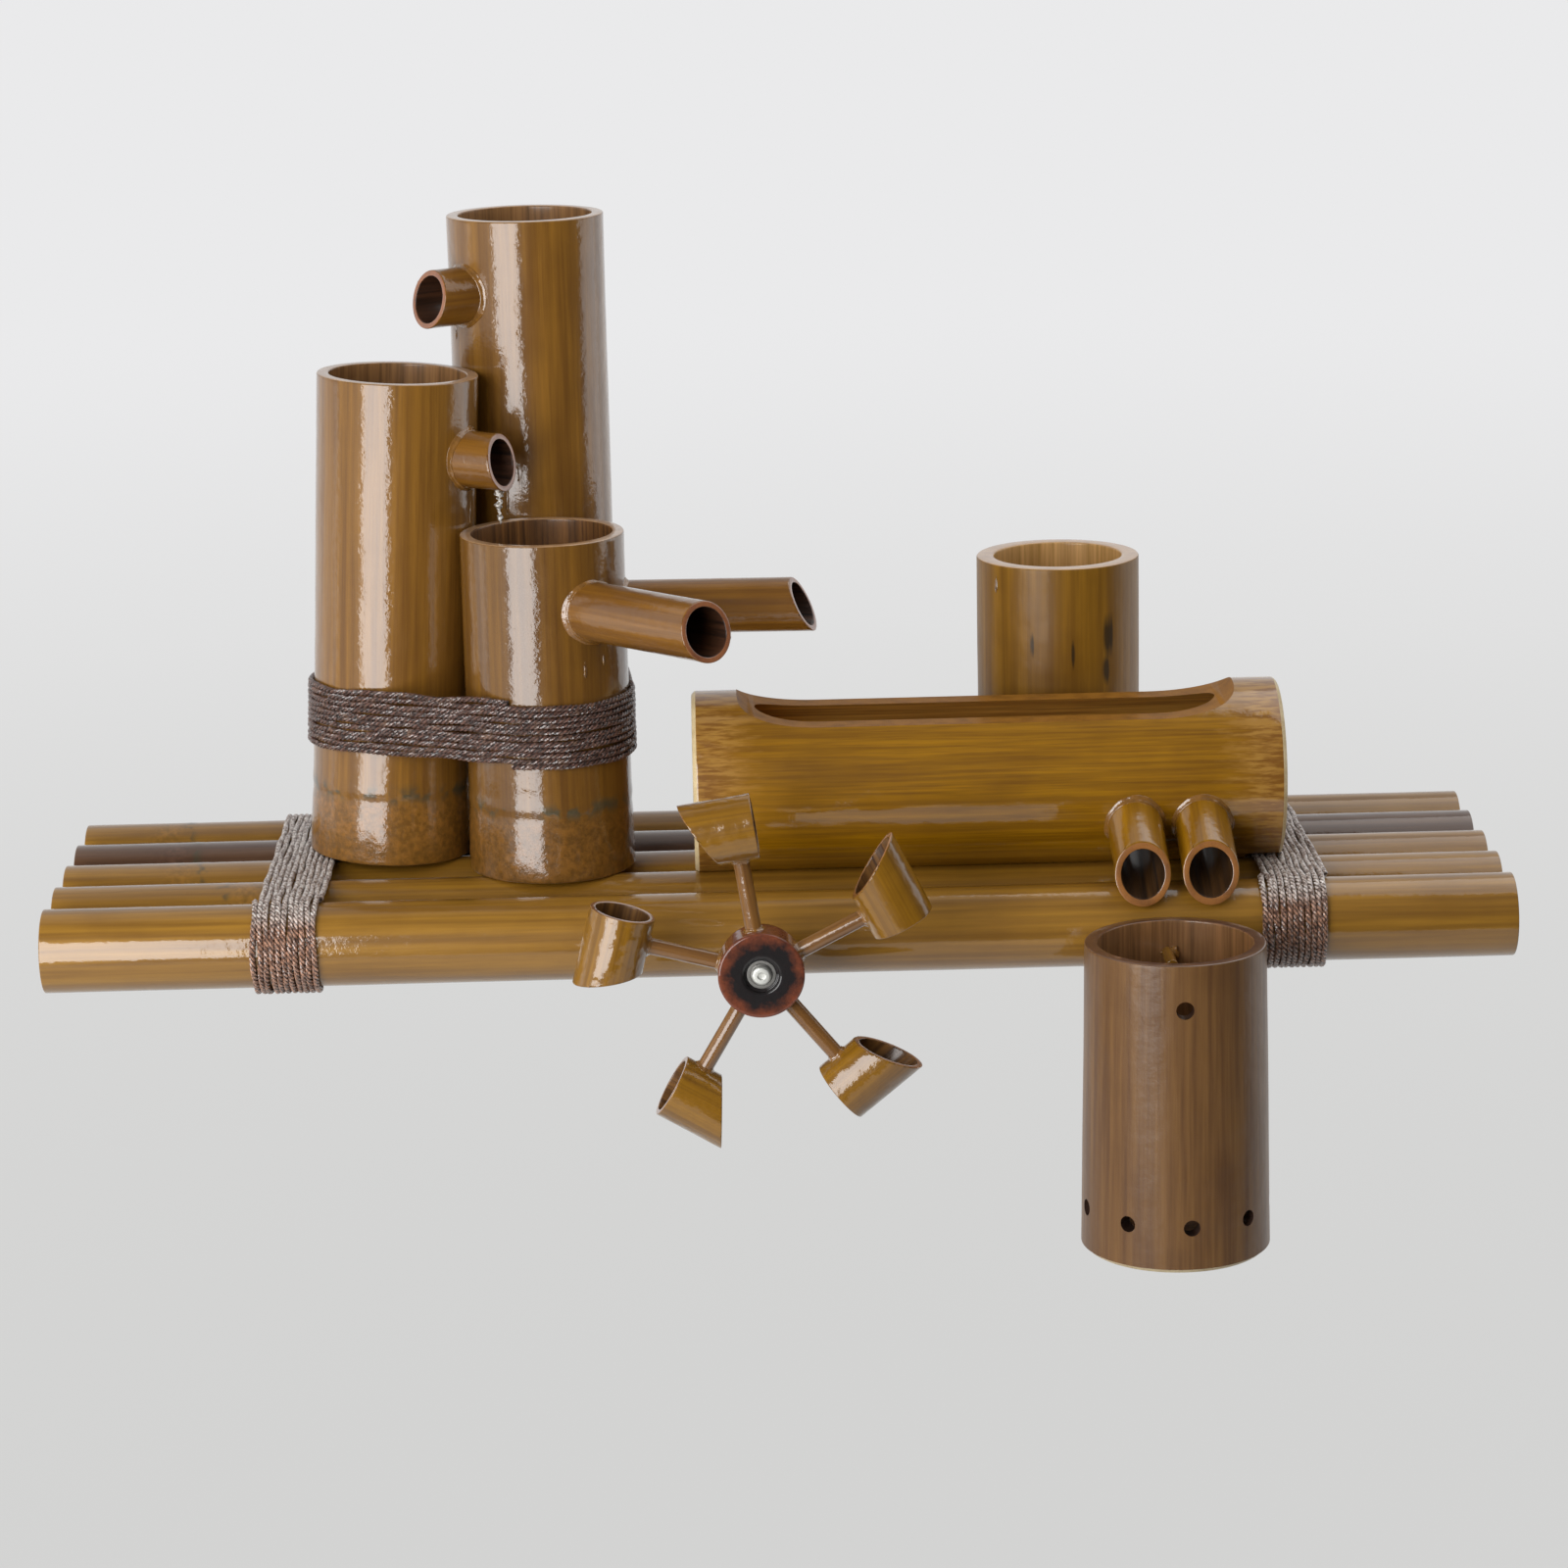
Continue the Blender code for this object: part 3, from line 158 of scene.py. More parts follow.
def softened(profile, radius, loop=False):
    """The profile with its corners rounded to a radius."""
    count = len(profile)
    points = []
    for index, here in enumerate(profile):
        if not loop and index in (0, count - 1):
            points.append(here)
            continue
        spot = Vector(here)
        back = Vector(profile[index - 1]) - spot
        on = Vector(profile[(index + 1) % count]) - spot
        bend = math.pi - back.angle(on)
        if bend < math.radians(25):
            points.append(here)
            continue
        reach = min(radius, back.length * 0.45, on.length * 0.45)
        first, last = spot + back.normalized() * reach, spot + on.normalized() * reach
        for step in range(5):
            share = step / 4
            points.append(tuple(first.lerp(spot, share).lerp(spot.lerp(last, share), share)))
    return points


def lathed(profile, steps, loop=False):
    """A profile of (radius, height) spun about local Z."""
    shape = bmesh.new()
    verts = [shape.verts.new((r, 0, z)) for r, z in profile]
    pairs = list(zip(verts, verts[1:]))
    if loop:
        pairs.append((verts[-1], verts[0]))
    edges = [shape.edges.new(pair) for pair in pairs]
    bmesh.ops.spin(shape, geom=verts + edges, cent=(0, 0, 0), axis=(0, 0, 1), dvec=(0, 0, 0),
                   angle=math.tau, steps=steps, use_merge=True, use_normal_flip=False,
                   use_duplicate=False)
    bmesh.ops.remove_doubles(shape, verts=shape.verts, dist=0.0005)
    bmesh.ops.recalc_face_normals(shape, faces=shape.faces)
    return shape


def bent_by_growth(shape, seed, amount):
    """Pushes a round shape in and out a little, as no culm grows true."""
    for vert in shape.verts:
        x, y, z = vert.co
        reach = math.hypot(x, y)
        if reach < 1:
            continue
        swell = noise.noise(Vector((x / reach * 0.9, y / reach * 0.9, z / 70 + seed * 7.3)))
        ripple = noise.noise(Vector((x / reach * 2.2, y / reach * 2.2, z / 24 + seed * 3.1)))
        push = amount * (swell + 0.35 * ripple)
        vert.co.x += x / reach * push
        vert.co.y += y / reach * push


def turned(profile, corner, spacing, steps, loop=False, seed=0, growth=0.0):
    """A profile with its corners rounded, spun in fine steps and bent a little by growth."""
    shape = lathed(sampled(softened(profile, corner, loop), spacing, loop), steps, loop)
    if growth:
        bent_by_growth(shape, seed, growth)
    return shape


def as_object(name, shape):
    """A bmesh as an object in the scene."""
    mesh = bpy.data.meshes.new(name)
    shape.to_mesh(mesh)
    shape.free()
    item = bpy.data.objects.new(name, mesh)
    bpy.context.scene.collection.objects.link(item)
    return item


def evaluated(item):
    """The mesh that an object's modifiers or its curve make."""
    bpy.context.view_layer.update()
    graph = bpy.context.evaluated_depsgraph_get()
    return bpy.data.meshes.new_from_object(item.evaluated_get(graph))


def cut_away(item, cutters):
    """Takes cutters out of an object and deletes them."""
    for cutter in cutters:
        boolean = item.modifiers.new("cut", "BOOLEAN")
        boolean.operation = "DIFFERENCE"
        boolean.solver = "EXACT"
        boolean.object = cutter
    whole = item.data
    item.data = evaluated(item)
    item.modifiers.clear()
    bpy.data.meshes.remove(whole)
    for cutter in cutters:
        bpy.data.objects.remove(cutter, do_unlink=True)


def rod(radius, low, high, matrix, steps=64):
    """A round cutter along the matrix's Z."""
    shape = bmesh.new()
    middle = matrix @ Matrix.Translation((0, 0, (low + high) / 2))
    bmesh.ops.create_cone(shape, cap_ends=True, segments=steps, radius1=radius, radius2=radius,
                          depth=high - low, matrix=middle)
    return as_object("cutter", shape)


def block(matrix):
    """A box cutter: a unit cube, stretched and placed by the matrix."""
    shape = bmesh.new()
    bmesh.ops.create_cube(shape, size=1, matrix=matrix)
    return as_object("cutter", shape)


def sliced(shape, point, normal):
    """Cuts a hollow shape off at a plane and closes the wall that is left."""
    geometry = shape.verts[:] + shape.edges[:] + shape.faces[:]
    bmesh.ops.bisect_plane(shape, geom=geometry, dist=0.0001, plane_co=point, plane_no=normal,
                           clear_outer=True)
    rim = [edge for edge in shape.edges if edge.is_boundary]
    wall = bmesh.ops.bridge_loops(shape, edges=rim)["faces"]
    bmesh.ops.recalc_face_normals(shape, faces=shape.faces)
    return list({edge for face in wall for edge in face.edges if len(edge.link_faces) == 2
                 and edge.calc_face_angle(0) > 0.6})


def rounded(shape, edges, width):
    """Rounds edges over."""
    bmesh.ops.bevel(shape, geom=edges, offset=width, segments=3, profile=0.5,
                    affect="EDGES", material=-1)


def finished(name, shape, matrix, seed, nodes, materials, kind=None, marks=None, body="raft",
             cutters=()):
    """Puts a shape made in millimetres in its place, with its finishes, for its solids.

    The attribute "culm" keeps the shape's own coordinates in metres, and "seed" sets one
    culm's pattern apart from the next. kind(x, y, z, normal) gives a face's finish by its
    number, and marks gives further attributes by name.
    """
    item = as_object(name, shape)
    if cutters:
        cut_away(item, cutters)
    mesh = item.data
    mesh.name = name
    own = mesh.attributes.new("culm", "FLOAT_VECTOR", "POINT")
    own.data.foreach_set("vector", [c / 1000 for v in mesh.vertices for c in v.co])
    seeds = mesh.attributes.new("seed", "FLOAT", "POINT")
    seeds.data.foreach_set("value", [seed] * len(mesh.vertices))
    for label, mark in (marks or {}).items():
        values = [mark(*v.co) for v in mesh.vertices]
        mesh.attributes.new(label, "FLOAT", "POINT").data.foreach_set("value", values)
    mesh.materials.clear()
    for material in materials:
        mesh.materials.append(material)
    if kind:
        numbers = [kind(*face.center, face.normal) for face in mesh.polygons]
        mesh.polygons.foreach_set("material_index", numbers)
    mesh.transform(Matrix.Scale(0.001, 4) @ matrix)
    mesh.shade_smooth()
    mesh.set_sharp_from_angle(angle=math.radians(38))
    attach(item, body)
    if nodes:
        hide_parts(*nodes)


def culm_faces(outer, inner):
    """Tells a culm's faces apart: 0 is the skin, 1 a cut through the wall, 2 the inside."""
    def kind(x, y, z, normal):
        reach = math.hypot(x, y)
        if reach < inner + 0.3:
            return 2
        outward = (x * normal.x + y * normal.y) / max(reach, 0.001)
        return 0 if outward > 0.6 and reach > outer(z) - 0.8 else 1
    return kind


# Shader nodes

# What add gives back of a kind of node, and what it sets on it, unless it is told otherwise
USUAL_OUTPUT = {"TexNoise": "Fac", "MapRange": "Result", "Bump": "Normal", "Math": "Value",
                "Mix": 2, "Mapping": "Vector", "CombineXYZ": "Vector"}
USUAL_SETTINGS = {"TexNoise": {"noise_dimensions": "4D"}, "Math": {"operation": "MULTIPLY"},
                  "Mix": {"data_type": "RGBA"}}


def add(tree, kind, sockets=None, **settings):
    """Adds a shader node with its settings, values and links, and returns what it gives."""
    made = tree.nodes.new("ShaderNode" + kind)
    for name, value in {**USUAL_SETTINGS.get(kind, {}), **settings}.items():
        setattr(made, name, value)
    for name, value in (sockets or {}).items():
        if isinstance(value, bpy.types.NodeSocket):
            tree.links.new(value, made.inputs[name])
        else:
            made.inputs[name].default_value = colour(value) if isinstance(value, str) else value
    return made.outputs[USUAL_OUTPUT[kind]] if kind in USUAL_OUTPUT else made.outputs


def per_mm(size):
    """A pattern's scale for features of a size in millimetres, on coordinates in metres."""
    return 1000 / size


def colour(hex_colour):
    """A hex colour for a socket."""
    return (*linear(hex_colour), 1)


def shaded(stain, red, green, blue):
    """A stain with each channel times a share, for a socket."""
    return (stain[0] * red, stain[1] * green, stain[2] * blue, 1)


def blended(tree, value, low, high, under, over, most=1.0):
    """A colour that gives way to another, up to a share, as a value grows from low to high."""
    share = add(tree, "MapRange", {"Value": value, "From Min": low, "From Max": high, "To Max": most})
    return add(tree, "Mix", {0: share, 6: under, 7: over})


def new_material(name, **values):
    """A node material whose Principled shader has plain values, and its node tree."""
    material = bpy.data.materials.new(name)
    material.use_nodes = True
    shader = material.node_tree.nodes["Principled BSDF"]
    for socket, value in values.items():
        shader.inputs[socket.replace("_", " ")].default_value = value
    return material, material.node_tree


def fed(material, **patterns):
    """The material, with what its nodes make linked to its Principled shader's sockets."""
    shader = material.node_tree.nodes["Principled BSDF"]
    for socket, pattern in patterns.items():
        material.node_tree.links.new(pattern, shader.inputs[socket.replace("_", " ")])
    return material


def on_culm(tree):
    """Where a point lies on its own culm, and the culm's seed, as a noise takes them."""
    place = add(tree, "Attribute", attribute_name="culm")["Vector"]
    return {"Vector": place, "W": add(tree, "Attribute", attribute_name="seed")["Fac"]}


def along(tree, own, share=0.028):
    """The same, drawn out along the culm, for what runs with its fibres."""
    drawn = add(tree, "Mapping", {"Vector": own["Vector"], "Scale": (1, 1, share)})
    return {**own, "Vector": drawn}


def stained_grain(tree, own, stain, bands, fibre_depth, blotch_depth):
    """The colour of stained skin, and its fibres: bands, fine lines and pools of stain."""
    drawn = along(tree, own)
    band = add(tree, "TexNoise", {**drawn, "Scale": per_mm(bands), "Detail": 2.5, "Roughness": 0.55})
    fibre = add(tree, "TexNoise", {**drawn, "Scale": per_mm(1.1), "Detail": 3, "Roughness": 0.7})
    blotch = add(tree, "TexNoise", {**own, "Scale": per_mm(42), "Detail": 3})
    deep = shaded(stain, 0.5, 0.42, 0.42)
    ground = blended(tree, band, 0.36, 0.64, shaded(stain, 0.81, 0.78, 0.8),
                     shaded(stain, 1.27, 1.3, 1.2))
    grained = blended(tree, fibre, 0.45, 0.8, ground, deep, fibre_depth)
    return blended(tree, blotch, 0.48, 0.72, grained, deep, blotch_depth), fibre


def varnished_grain(name, stain, grain, peel, wave, **values):
    """What every skin shares: stained grain, its sheen, and brushed varnish over it.

    The varnish has an orange peel, a height in mm, on slow waves that are so many times
    higher and fray the edges of highlights. The material comes with its own place on the
    culm, its colour and its relief, which each skin works on.
    """
    material, tree = new_material(name, Specular_IOR_Level=0.25, **values)
    own = on_culm(tree)
    stained, fibre = stained_grain(tree, own, stain, *grain)
    rough = add(tree, "MapRange", {"Value": fibre, "To Min": 0.3, "To Max": 0.5})
    skin = add(tree, "TexNoise", {**own, "Scale": per_mm(3.2), "Detail": 3, "Roughness": 0.6})
    swell = add(tree, "TexNoise", {**own, "Scale": per_mm(14), "Detail": 2})
    slow = add(tree, "Bump", {"Height": swell, "Distance": peel * wave / 1000})
    peeled = add(tree, "Bump", {"Height": skin, "Distance": peel / 1000, "Normal": slow})
    ridged = add(tree, "Bump", {"Height": fibre, "Distance": 0.00003, "Normal": slow})
    return fed(material, Roughness=rough, Coat_Normal=peeled), own, stained, ridged


def bamboo_skin(name, stain, bands=4.5, fibre_depth=0.45, blotch_depth=0.35, coat=1.0,
                coat_roughness=0.035, peel=0.2, wave=2.5):
    """Smoked and stained bamboo skin under thick gloss varnish.

    The skin shows fine fibres and broad lengthwise bands of stain. The foot below the
    lowest node has the pitted look of the root end, and the node a row of grey marks.
    """
    material, own, stained, ridged = varnished_grain(
        name, stain, (bands, fibre_depth, blotch_depth), peel, wave, Coat_Weight=coat,
        Coat_Roughness=coat_roughness, Coat_IOR=1.62)
    tree = material.node_tree
    pits = add(tree, "TexNoise", {**own, "Scale": per_mm(3.4), "Detail": 4, "Roughness": 0.65})
    root = blended(tree, pits, 0.4, 0.62, shaded(stain, 0.74, 0.74, 0.78),
                   shaded(stain, 1.26, 1.22, 1.35))
    foot = add(tree, "Attribute", attribute_name="foot")["Fac"]
    footed = add(tree, "Mix", {0: foot, 6: stained, 7: root})
    node = add(tree, "Attribute", attribute_name="node")["Fac"]
    spots = add(tree, "TexNoise", {**own, "Scale": per_mm(7), "Detail": 1})
    spotted = add(tree, "MapRange", {"Value": spots, "From Min": 0.48, "From Max": 0.58,
                                     "To Min": 0.04, "To Max": 0.9})
    ring = add(tree, "Math", {0: node, 1: spotted})
    ringed = add(tree, "Mix", {0: ring, 6: footed, 7: "454230"})
    dimple = add(tree, "Math", {0: pits, 1: foot})
    pitted = add(tree, "Bump", {"Height": dimple, "Distance": 0.0004, "Normal": ridged})
    return fed(material, Base_Color=ringed, Normal=pitted)


def trough_skin(stain):
    """The trough's skin: olive-gold streaks that pale and feather towards its two nodes."""
    material, own, stained, ridged = varnished_grain(
        "split bamboo trough, varnished", stain, (2.6, 0.75, 0.35), 0.1, 3, Coat_Weight=1,
        Coat_Roughness=0.035, Coat_IOR=1.7)
    tree = material.node_tree
    feather = add(tree, "TexNoise", {**along(tree, own, 0.16), "Scale": per_mm(2.4), "Detail": 3,
                                     "Roughness": 0.6})
    stroke = blended(tree, feather, 0.42, 0.58, "7A4E1C", "A67A36")
    end = add(tree, "Attribute", attribute_name="end")["Fac"]
    pushed = add(tree, "Math", {0: end, 1: feather}, operation="ADD")
    return fed(material, Normal=ridged,
               Base_Color=blended(tree, pushed, 0.8, 1.35, stained, stroke, 0.85))


def scarred_skin(stain):
    """The cup's skin: as the other culms', with black weather marks in the grain."""
    material = bamboo_skin("scarred bamboo cup, varnished", stain, bands=5, blotch_depth=0.5,
                           coat=0.15, coat_roughness=0.3)
    tree = material.node_tree
    under = tree.nodes["Principled BSDF"].inputs["Base Color"].links[0].from_socket
    scar = add(tree, "Attribute", attribute_name="scar")["Fac"]
    grain = add(tree, "TexNoise", {**along(tree, on_culm(tree)), "Scale": per_mm(2), "Detail": 3})
    torn = add(tree, "Math", {0: scar, 1: grain})
    return fed(material, Base_Color=blended(tree, torn, 0.2, 0.42, under, "241E12", 0.85))


def set_lump(name, size, low, high, dark, pale, dent, roughness, coat_roughness):
    """What set out of a drop: glossy, clouded between two tones, and dented by its clouds."""
    material, tree = new_material(name, Roughness=roughness, Coat_Weight=1,
                                  Coat_Roughness=coat_roughness, Coat_IOR=1.6)
    cloud = add(tree, "TexNoise", {**on_culm(tree), "Scale": per_mm(size), "Detail": 3})
    bump = add(tree, "Bump", {"Height": cloud, "Distance": dent})
    return fed(material, Base_Color=blended(tree, cloud, low, high, dark, pale),
               Coat_Normal=bump), bump


def dried_varnish():
    """Clear varnish that ran and dried: cloudy over the culm's brown, with a wet glint."""
    return set_lump("dried run of varnish", 2, 0.4, 0.65, "5E3E1A", "8C6634", 0.0003, 0.2, 0.02)[0]


def pale_glue_painted_sheen():
    """A string of hot glue that set in the air: milky and lumpy; its pale silver tone is partly its own
    and partly a painted highlight.
    """
    return set_lump("string of hot glue", 1.5, 0.4, 0.6, "6A5A48", "E2DED8", 0.0006, 0.3, 0.03)[0]


def glue_bead():
    """Hot glue squeezed out of a joint and varnished over: amber, lumpy and very glossy."""
    material, bump = set_lump("hot glue under varnish", 4, 0, 1, "5A3C1C", "9A6A2C", 0.0006, 0.25,
                              0.03)
    return fed(material, Normal=bump)


def bamboo_cut(name, pale, pore, gloss=1.0):
    """A sawn bamboo wall: pale end grain with dark pores, sealed with varnish."""
    material, tree = new_material(name, Coat_Weight=gloss, Coat_Roughness=0.06, Coat_IOR=1.75,
                                  Roughness=0.45, Specular_IOR_Level=gloss / 2)
    own = on_culm(tree)
    cell = add(tree, "TexVoronoi", {"Vector": own["Vector"], "Scale": per_mm(0.9)})["Distance"]
    dots = add(tree, "MapRange", {"Value": cell, "From Min": 0.18, "From Max": 0.42, "To Min": 0.8,
                                  "To Max": 0})
    cloud = add(tree, "TexNoise", {**own, "Scale": per_mm(9), "Detail": 4})
    shade = add(tree, "Math", {0: dots, 1: cloud})
    grain = add(tree, "Mix", {0: shade, 6: pale, 7: pore})
    return fed(material, Base_Color=blended(tree, cloud, 0.4, 0.7, grain, pore, 0.5),
               Coat_Normal=add(tree, "Bump", {"Height": cloud, "Distance": 0.0003}))


def bamboo_inside(name, light, dark, gloss=0.5):
    """The inner wall of a culm: soft lengthwise streaks that took the stain unevenly."""
    material, tree = new_material(name, Coat_Weight=gloss, Coat_Roughness=0.18,
                                  Specular_IOR_Level=0.3)
    streak = add(tree, "TexNoise", {**along(tree, on_culm(tree)), "Scale": per_mm(2.6), "Detail": 4,
                                    "Roughness": 0.6})
    return fed(material, Base_Color=blended(tree, streak, 0.35, 0.68, dark, light),
               Roughness=add(tree, "MapRange", {"Value": streak, "To Min": 0.4, "To Max": 0.65}),
               Normal=add(tree, "Bump", {"Height": streak, "Distance": 0.0002}))


def soaked_cord(name, tint):
    """Twisted hemp cord soaked in varnish: painted shade in the grooves and wet glints show its twist.

    On top of the raft a painted highlight turns the crests of its strands silver grey, in specks.
    """
    material, tree = new_material(name, Coat_Weight=1, Coat_Roughness=0.06, Coat_IOR=1.7,
                                  Roughness=0.55)
    spot = {"Vector": add(tree, "TexCoord")["Object"]}
    # The fibres' clumps are drawn at 2.4 mm, coarser than real ones, so that they show
    hair = add(tree, "TexNoise", {**spot, "Scale": per_mm(2.4), "Detail": 4, "Roughness": 0.7},
               noise_dimensions="3D")
    clump = add(tree, "TexNoise", {**spot, "Scale": per_mm(6), "Detail": 3}, noise_dimensions="3D")
    # The pale specks in the fibres are partly their own tone and partly painted highlight for wet glints
    fibre = blended(tree, hair, 0.42, 0.62, shaded(tint, 0.2, 0.16, 0.14), (*tint, 1))
    crest = add(tree, "Attribute", attribute_name="crest")["Fac"]
    # Painted shade: the grooves between the strands are near black
    strand = add(tree, "Mix", {0: crest, 6: "140D0A", 7: fibre})
    faded = blended(tree, clump, 0.55, 0.75, strand, "8A6A54", 0.55)
    top = add(tree, "Attribute", attribute_name="top_highlight_painted")["Fac"]
    # Painted highlight: silver grey specks on the crests of the strands on top of the raft
    glint_speckle = add(tree, "MapRange", {"Value": hair, "From Min": 0.42, "From Max": 0.56, "To Min": 0.1})
    top_glint_speckle = add(tree, "Math", {0: top, 1: glint_speckle})
    crested = add(tree, "Math", {0: top_glint_speckle, 1: crest})
    top_highlight_painted = add(tree, "Mix", {0: crested, 6: faded, 7: "DAD6D0"})
    fuzz = add(tree, "Bump", {"Height": hair, "Distance": 0.0008})
    blob = add(tree, "Bump", {"Height": clump, "Distance": 0.002, "Normal": fuzz})
    bubble = add(tree, "TexNoise", {**spot, "Scale": per_mm(2.6), "Detail": 2}, noise_dimensions="3D")
    return fed(material, Base_Color=top_highlight_painted, Normal=blob,
               Coat_Normal=add(tree, "Bump", {"Height": bubble, "Distance": 0.0012}))


def from_axis(tree, place):
    """How far a place is from the Z axis."""
    parts = add(tree, "SeparateXYZ", {"Vector": place})
    flat = add(tree, "CombineXYZ", {"X": parts["X"], "Y": parts["Y"]})
    return add(tree, "VectorMath", {0: flat}, operation="LENGTH")["Value"]


def charred_slice():
    """A charred bamboo slice: black in the middle, burnt orange where the rim was rubbed."""
    material, tree = new_material("charred bamboo slice, varnished", Coat_Weight=1,
                                  Coat_Roughness=0.05, Coat_IOR=1.5, Roughness=0.6,
                                  Specular_IOR_Level=0.2)
    own = on_culm(tree)["Vector"]
    cloud = add(tree, "TexNoise", {"Vector": own, "Scale": per_mm(9), "Detail": 4, "Roughness": 0.6},
                noise_dimensions="3D")
    sway = add(tree, "MapRange", {"Value": cloud, "To Min": -0.009, "To Max": 0.009})
    edge = add(tree, "Math", {0: from_axis(tree, own), 1: sway}, operation="ADD")
    burnt = blended(tree, edge, 0.0160, 0.0225, "120D0E", "72381F")
    soot = add(tree, "TexNoise", {"Vector": own, "Scale": per_mm(2.5), "Detail": 5, "Roughness": 0.7},
               noise_dimensions="3D")
    return fed(material, Base_Color=blended(tree, soot, 0.5, 0.75, burnt, "20100E", 0.6),
               Normal=add(tree, "Bump", {"Height": soot, "Distance": 0.0003}),
               Coat_Normal=add(tree, "Bump", {"Height": cloud, "Distance": 0.0001}))


def turned_steel(name, hex_colour, roughness):
    """Turned steel, a little oil-stained: patches of duller and brighter sheen."""
    material, tree = new_material(name, Metallic=1, Base_Color=colour(hex_colour))
    spot = add(tree, "TexCoord")["Object"]
    smear = add(tree, "TexNoise", {"Vector": spot, "Scale": per_mm(1.6), "Detail": 4},
                noise_dimensions="3D")
    rough = add(tree, "MapRange", {"Value": smear, "To Min": roughness - 0.1,
                                   "To Max": roughness + 0.2})
    return fed(material, Roughness=rough,
               Normal=add(tree, "Bump", {"Height": smear, "Distance": 0.00008}))


def bare_dowel():
    """A plain birch dowel, dry and pale with short grain."""
    material, tree = new_material("bare birch dowel", Roughness=0.6)
    spot = add(tree, "TexCoord")["Object"]
    drawn = add(tree, "Mapping", {"Vector": spot, "Scale": (1, 0.05, 1)})
    grain = add(tree, "TexNoise", {"Vector": drawn, "Scale": per_mm(0.8), "Detail": 3},
                noise_dimensions="3D")
    return fed(material,
               Base_Color=add(tree, "Mix", {0: grain, 6: "8A6434", 7: "B48C54"}))


# Placing matrices


def at(place, *turns):
    """A matrix at a place, turned by (axis, angle) pairs."""
    matrix = Matrix.Translation(place)
    for axis, angle in turns:
        matrix = matrix @ Matrix.Rotation(angle, 4, axis)
    return matrix


TALL = at(TALL_PLACE)
MID = at(MID_PLACE, ("Y", MID_LEAN))
SHORT = at(SHORT_PLACE)


def aimed(stand, height, bearing, rise):
    """A spout's matrix on its tube: local Z out along the spout, local -X up."""
    return stand @ at((0, 0, height), ("Z", bearing), ("Y", math.pi / 2 - rise))


def mid_top():
    """The middle of the mid tube's rim."""
    return MID_PLACE[0] + (RAFT_TOP + MID_HEIGHT - MID_PLACE[2]) * math.tan(MID_LEAN), MID_PLACE[1]


def bearing_to(start, end):
    """The bearing from one place to another."""
    return math.atan2(end[1] - start[1], end[0] - start[0])


TALL_BEARING = bearing_to(TALL_PLACE, mid_top())
MID_BEARING = bearing_to(mid_top(), SHORT_PLACE)


# Each upright tube's place, radius and height
TUBES = (("tall_tube", TALL, TALL_RADIUS, 352.5), ("mid_tube", MID, MID_RADIUS, MID_HEIGHT),
         ("short_tube", SHORT, SHORT_RADIUS, 188.0))

# Each tube spout: its tube, height, bearing, rise, diameter and ends, and its mouth's slants
TUBE_SPOUTS = (
    ("tall_spout", "tall_tube", 310.5, TALL_BEARING, 0, 32.0, 37.4, 66.5, 12, 0),
    ("mid_spout", "mid_tube", MID_SPOUT_HEIGHT, MID_BEARING, 0, 31.5, 38.05, 66.15, 12, 0),
    ("front_spout", "short_tube", 148.4, FRONT_BEARING, FRONT_RISE, 32.5, 38.7, 145.3, 12, 0),
    ("rear_spout", "short_tube", 145.0, REAR_BEARING, 0, 30.0, 38.7, 142.8, 24, 11))

# Each drip's stand, the radius it lies on, its height, bearing, width, length and thickness
DRIPS = ((SHORT, SHORT_RADIUS, 118, -60, 2.2, 9, 0.7), (SHORT, SHORT_RADIUS, 122, -44, 1.6, 6, 0.6),
         (TALL, TALL_RADIUS, 198, -108, 2.6, 16, 0.9), (TALL, TALL_RADIUS, 178, -101, 2.2, 11, 0.8),
         (TALL, TALL_RADIUS, 212, -99, 1.8, 8, 0.7), (MID, MID_RADIUS, 196, -20, 2.4, 14, 0.8),
         (TALL, TALL_RADIUS, 290, -155, 2.0, 9, 0.7), (at(CUP_PLACE), CUP_RADIUS, 139, -143, 3.0, 9, 0.9))


# Shapes


def steps_between(high, low, spacing):
    """Heights from high to low at about a spacing."""
    count = math.ceil(abs(high - low) / spacing)
    return [high + (low - high) * i / count for i in range(count + 1)]


def vessel_profile(outer, height, wall, floor, thickness):
    """An open vessel with a straight bore, from the middle of its floor over its rim."""
    bore = outer(height) - wall
    skin = [(outer(z), z) for z in steps_between(height, 0, 2.5)]
    low = floor - thickness
    return [(0, floor), (bore, floor), (bore, height)] + skin + [(bore, 0), (bore, low), (0, low)]


def tube_skin(girth):
    """An upright tube's outer radius by height: its girth, a node, and a foot that flares."""
    def radius(z):
        flare = max(0.0, 1 - z / 38)
        ridge = math.exp(-((z - 41) / 3.4) ** 2) - 0.5 * math.exp(-((z - 35.5) / 3) ** 2)
        return girth + 0.4 * ridge + flare * (2 - flare)
    return radius


def spout_shape(diameter, wall, start, end, tilt, skew=0.0):
    """A spout along local Z with its mouth cut aslant."""
    radius = diameter / 2
    shape = turned([(radius - wall, start), (radius - wall, end + 40), (radius, end + 40),
                    (radius, start)], 0.4, 3, 64, True)
    slant = Matrix.Rotation(-tilt, 3, "Y") @ Matrix.Rotation(skew, 3, "X")
    rounded(shape, sliced(shape, (0, 0, end), slant @ Vector((0, 0, 1))), 0.6)
    return shape


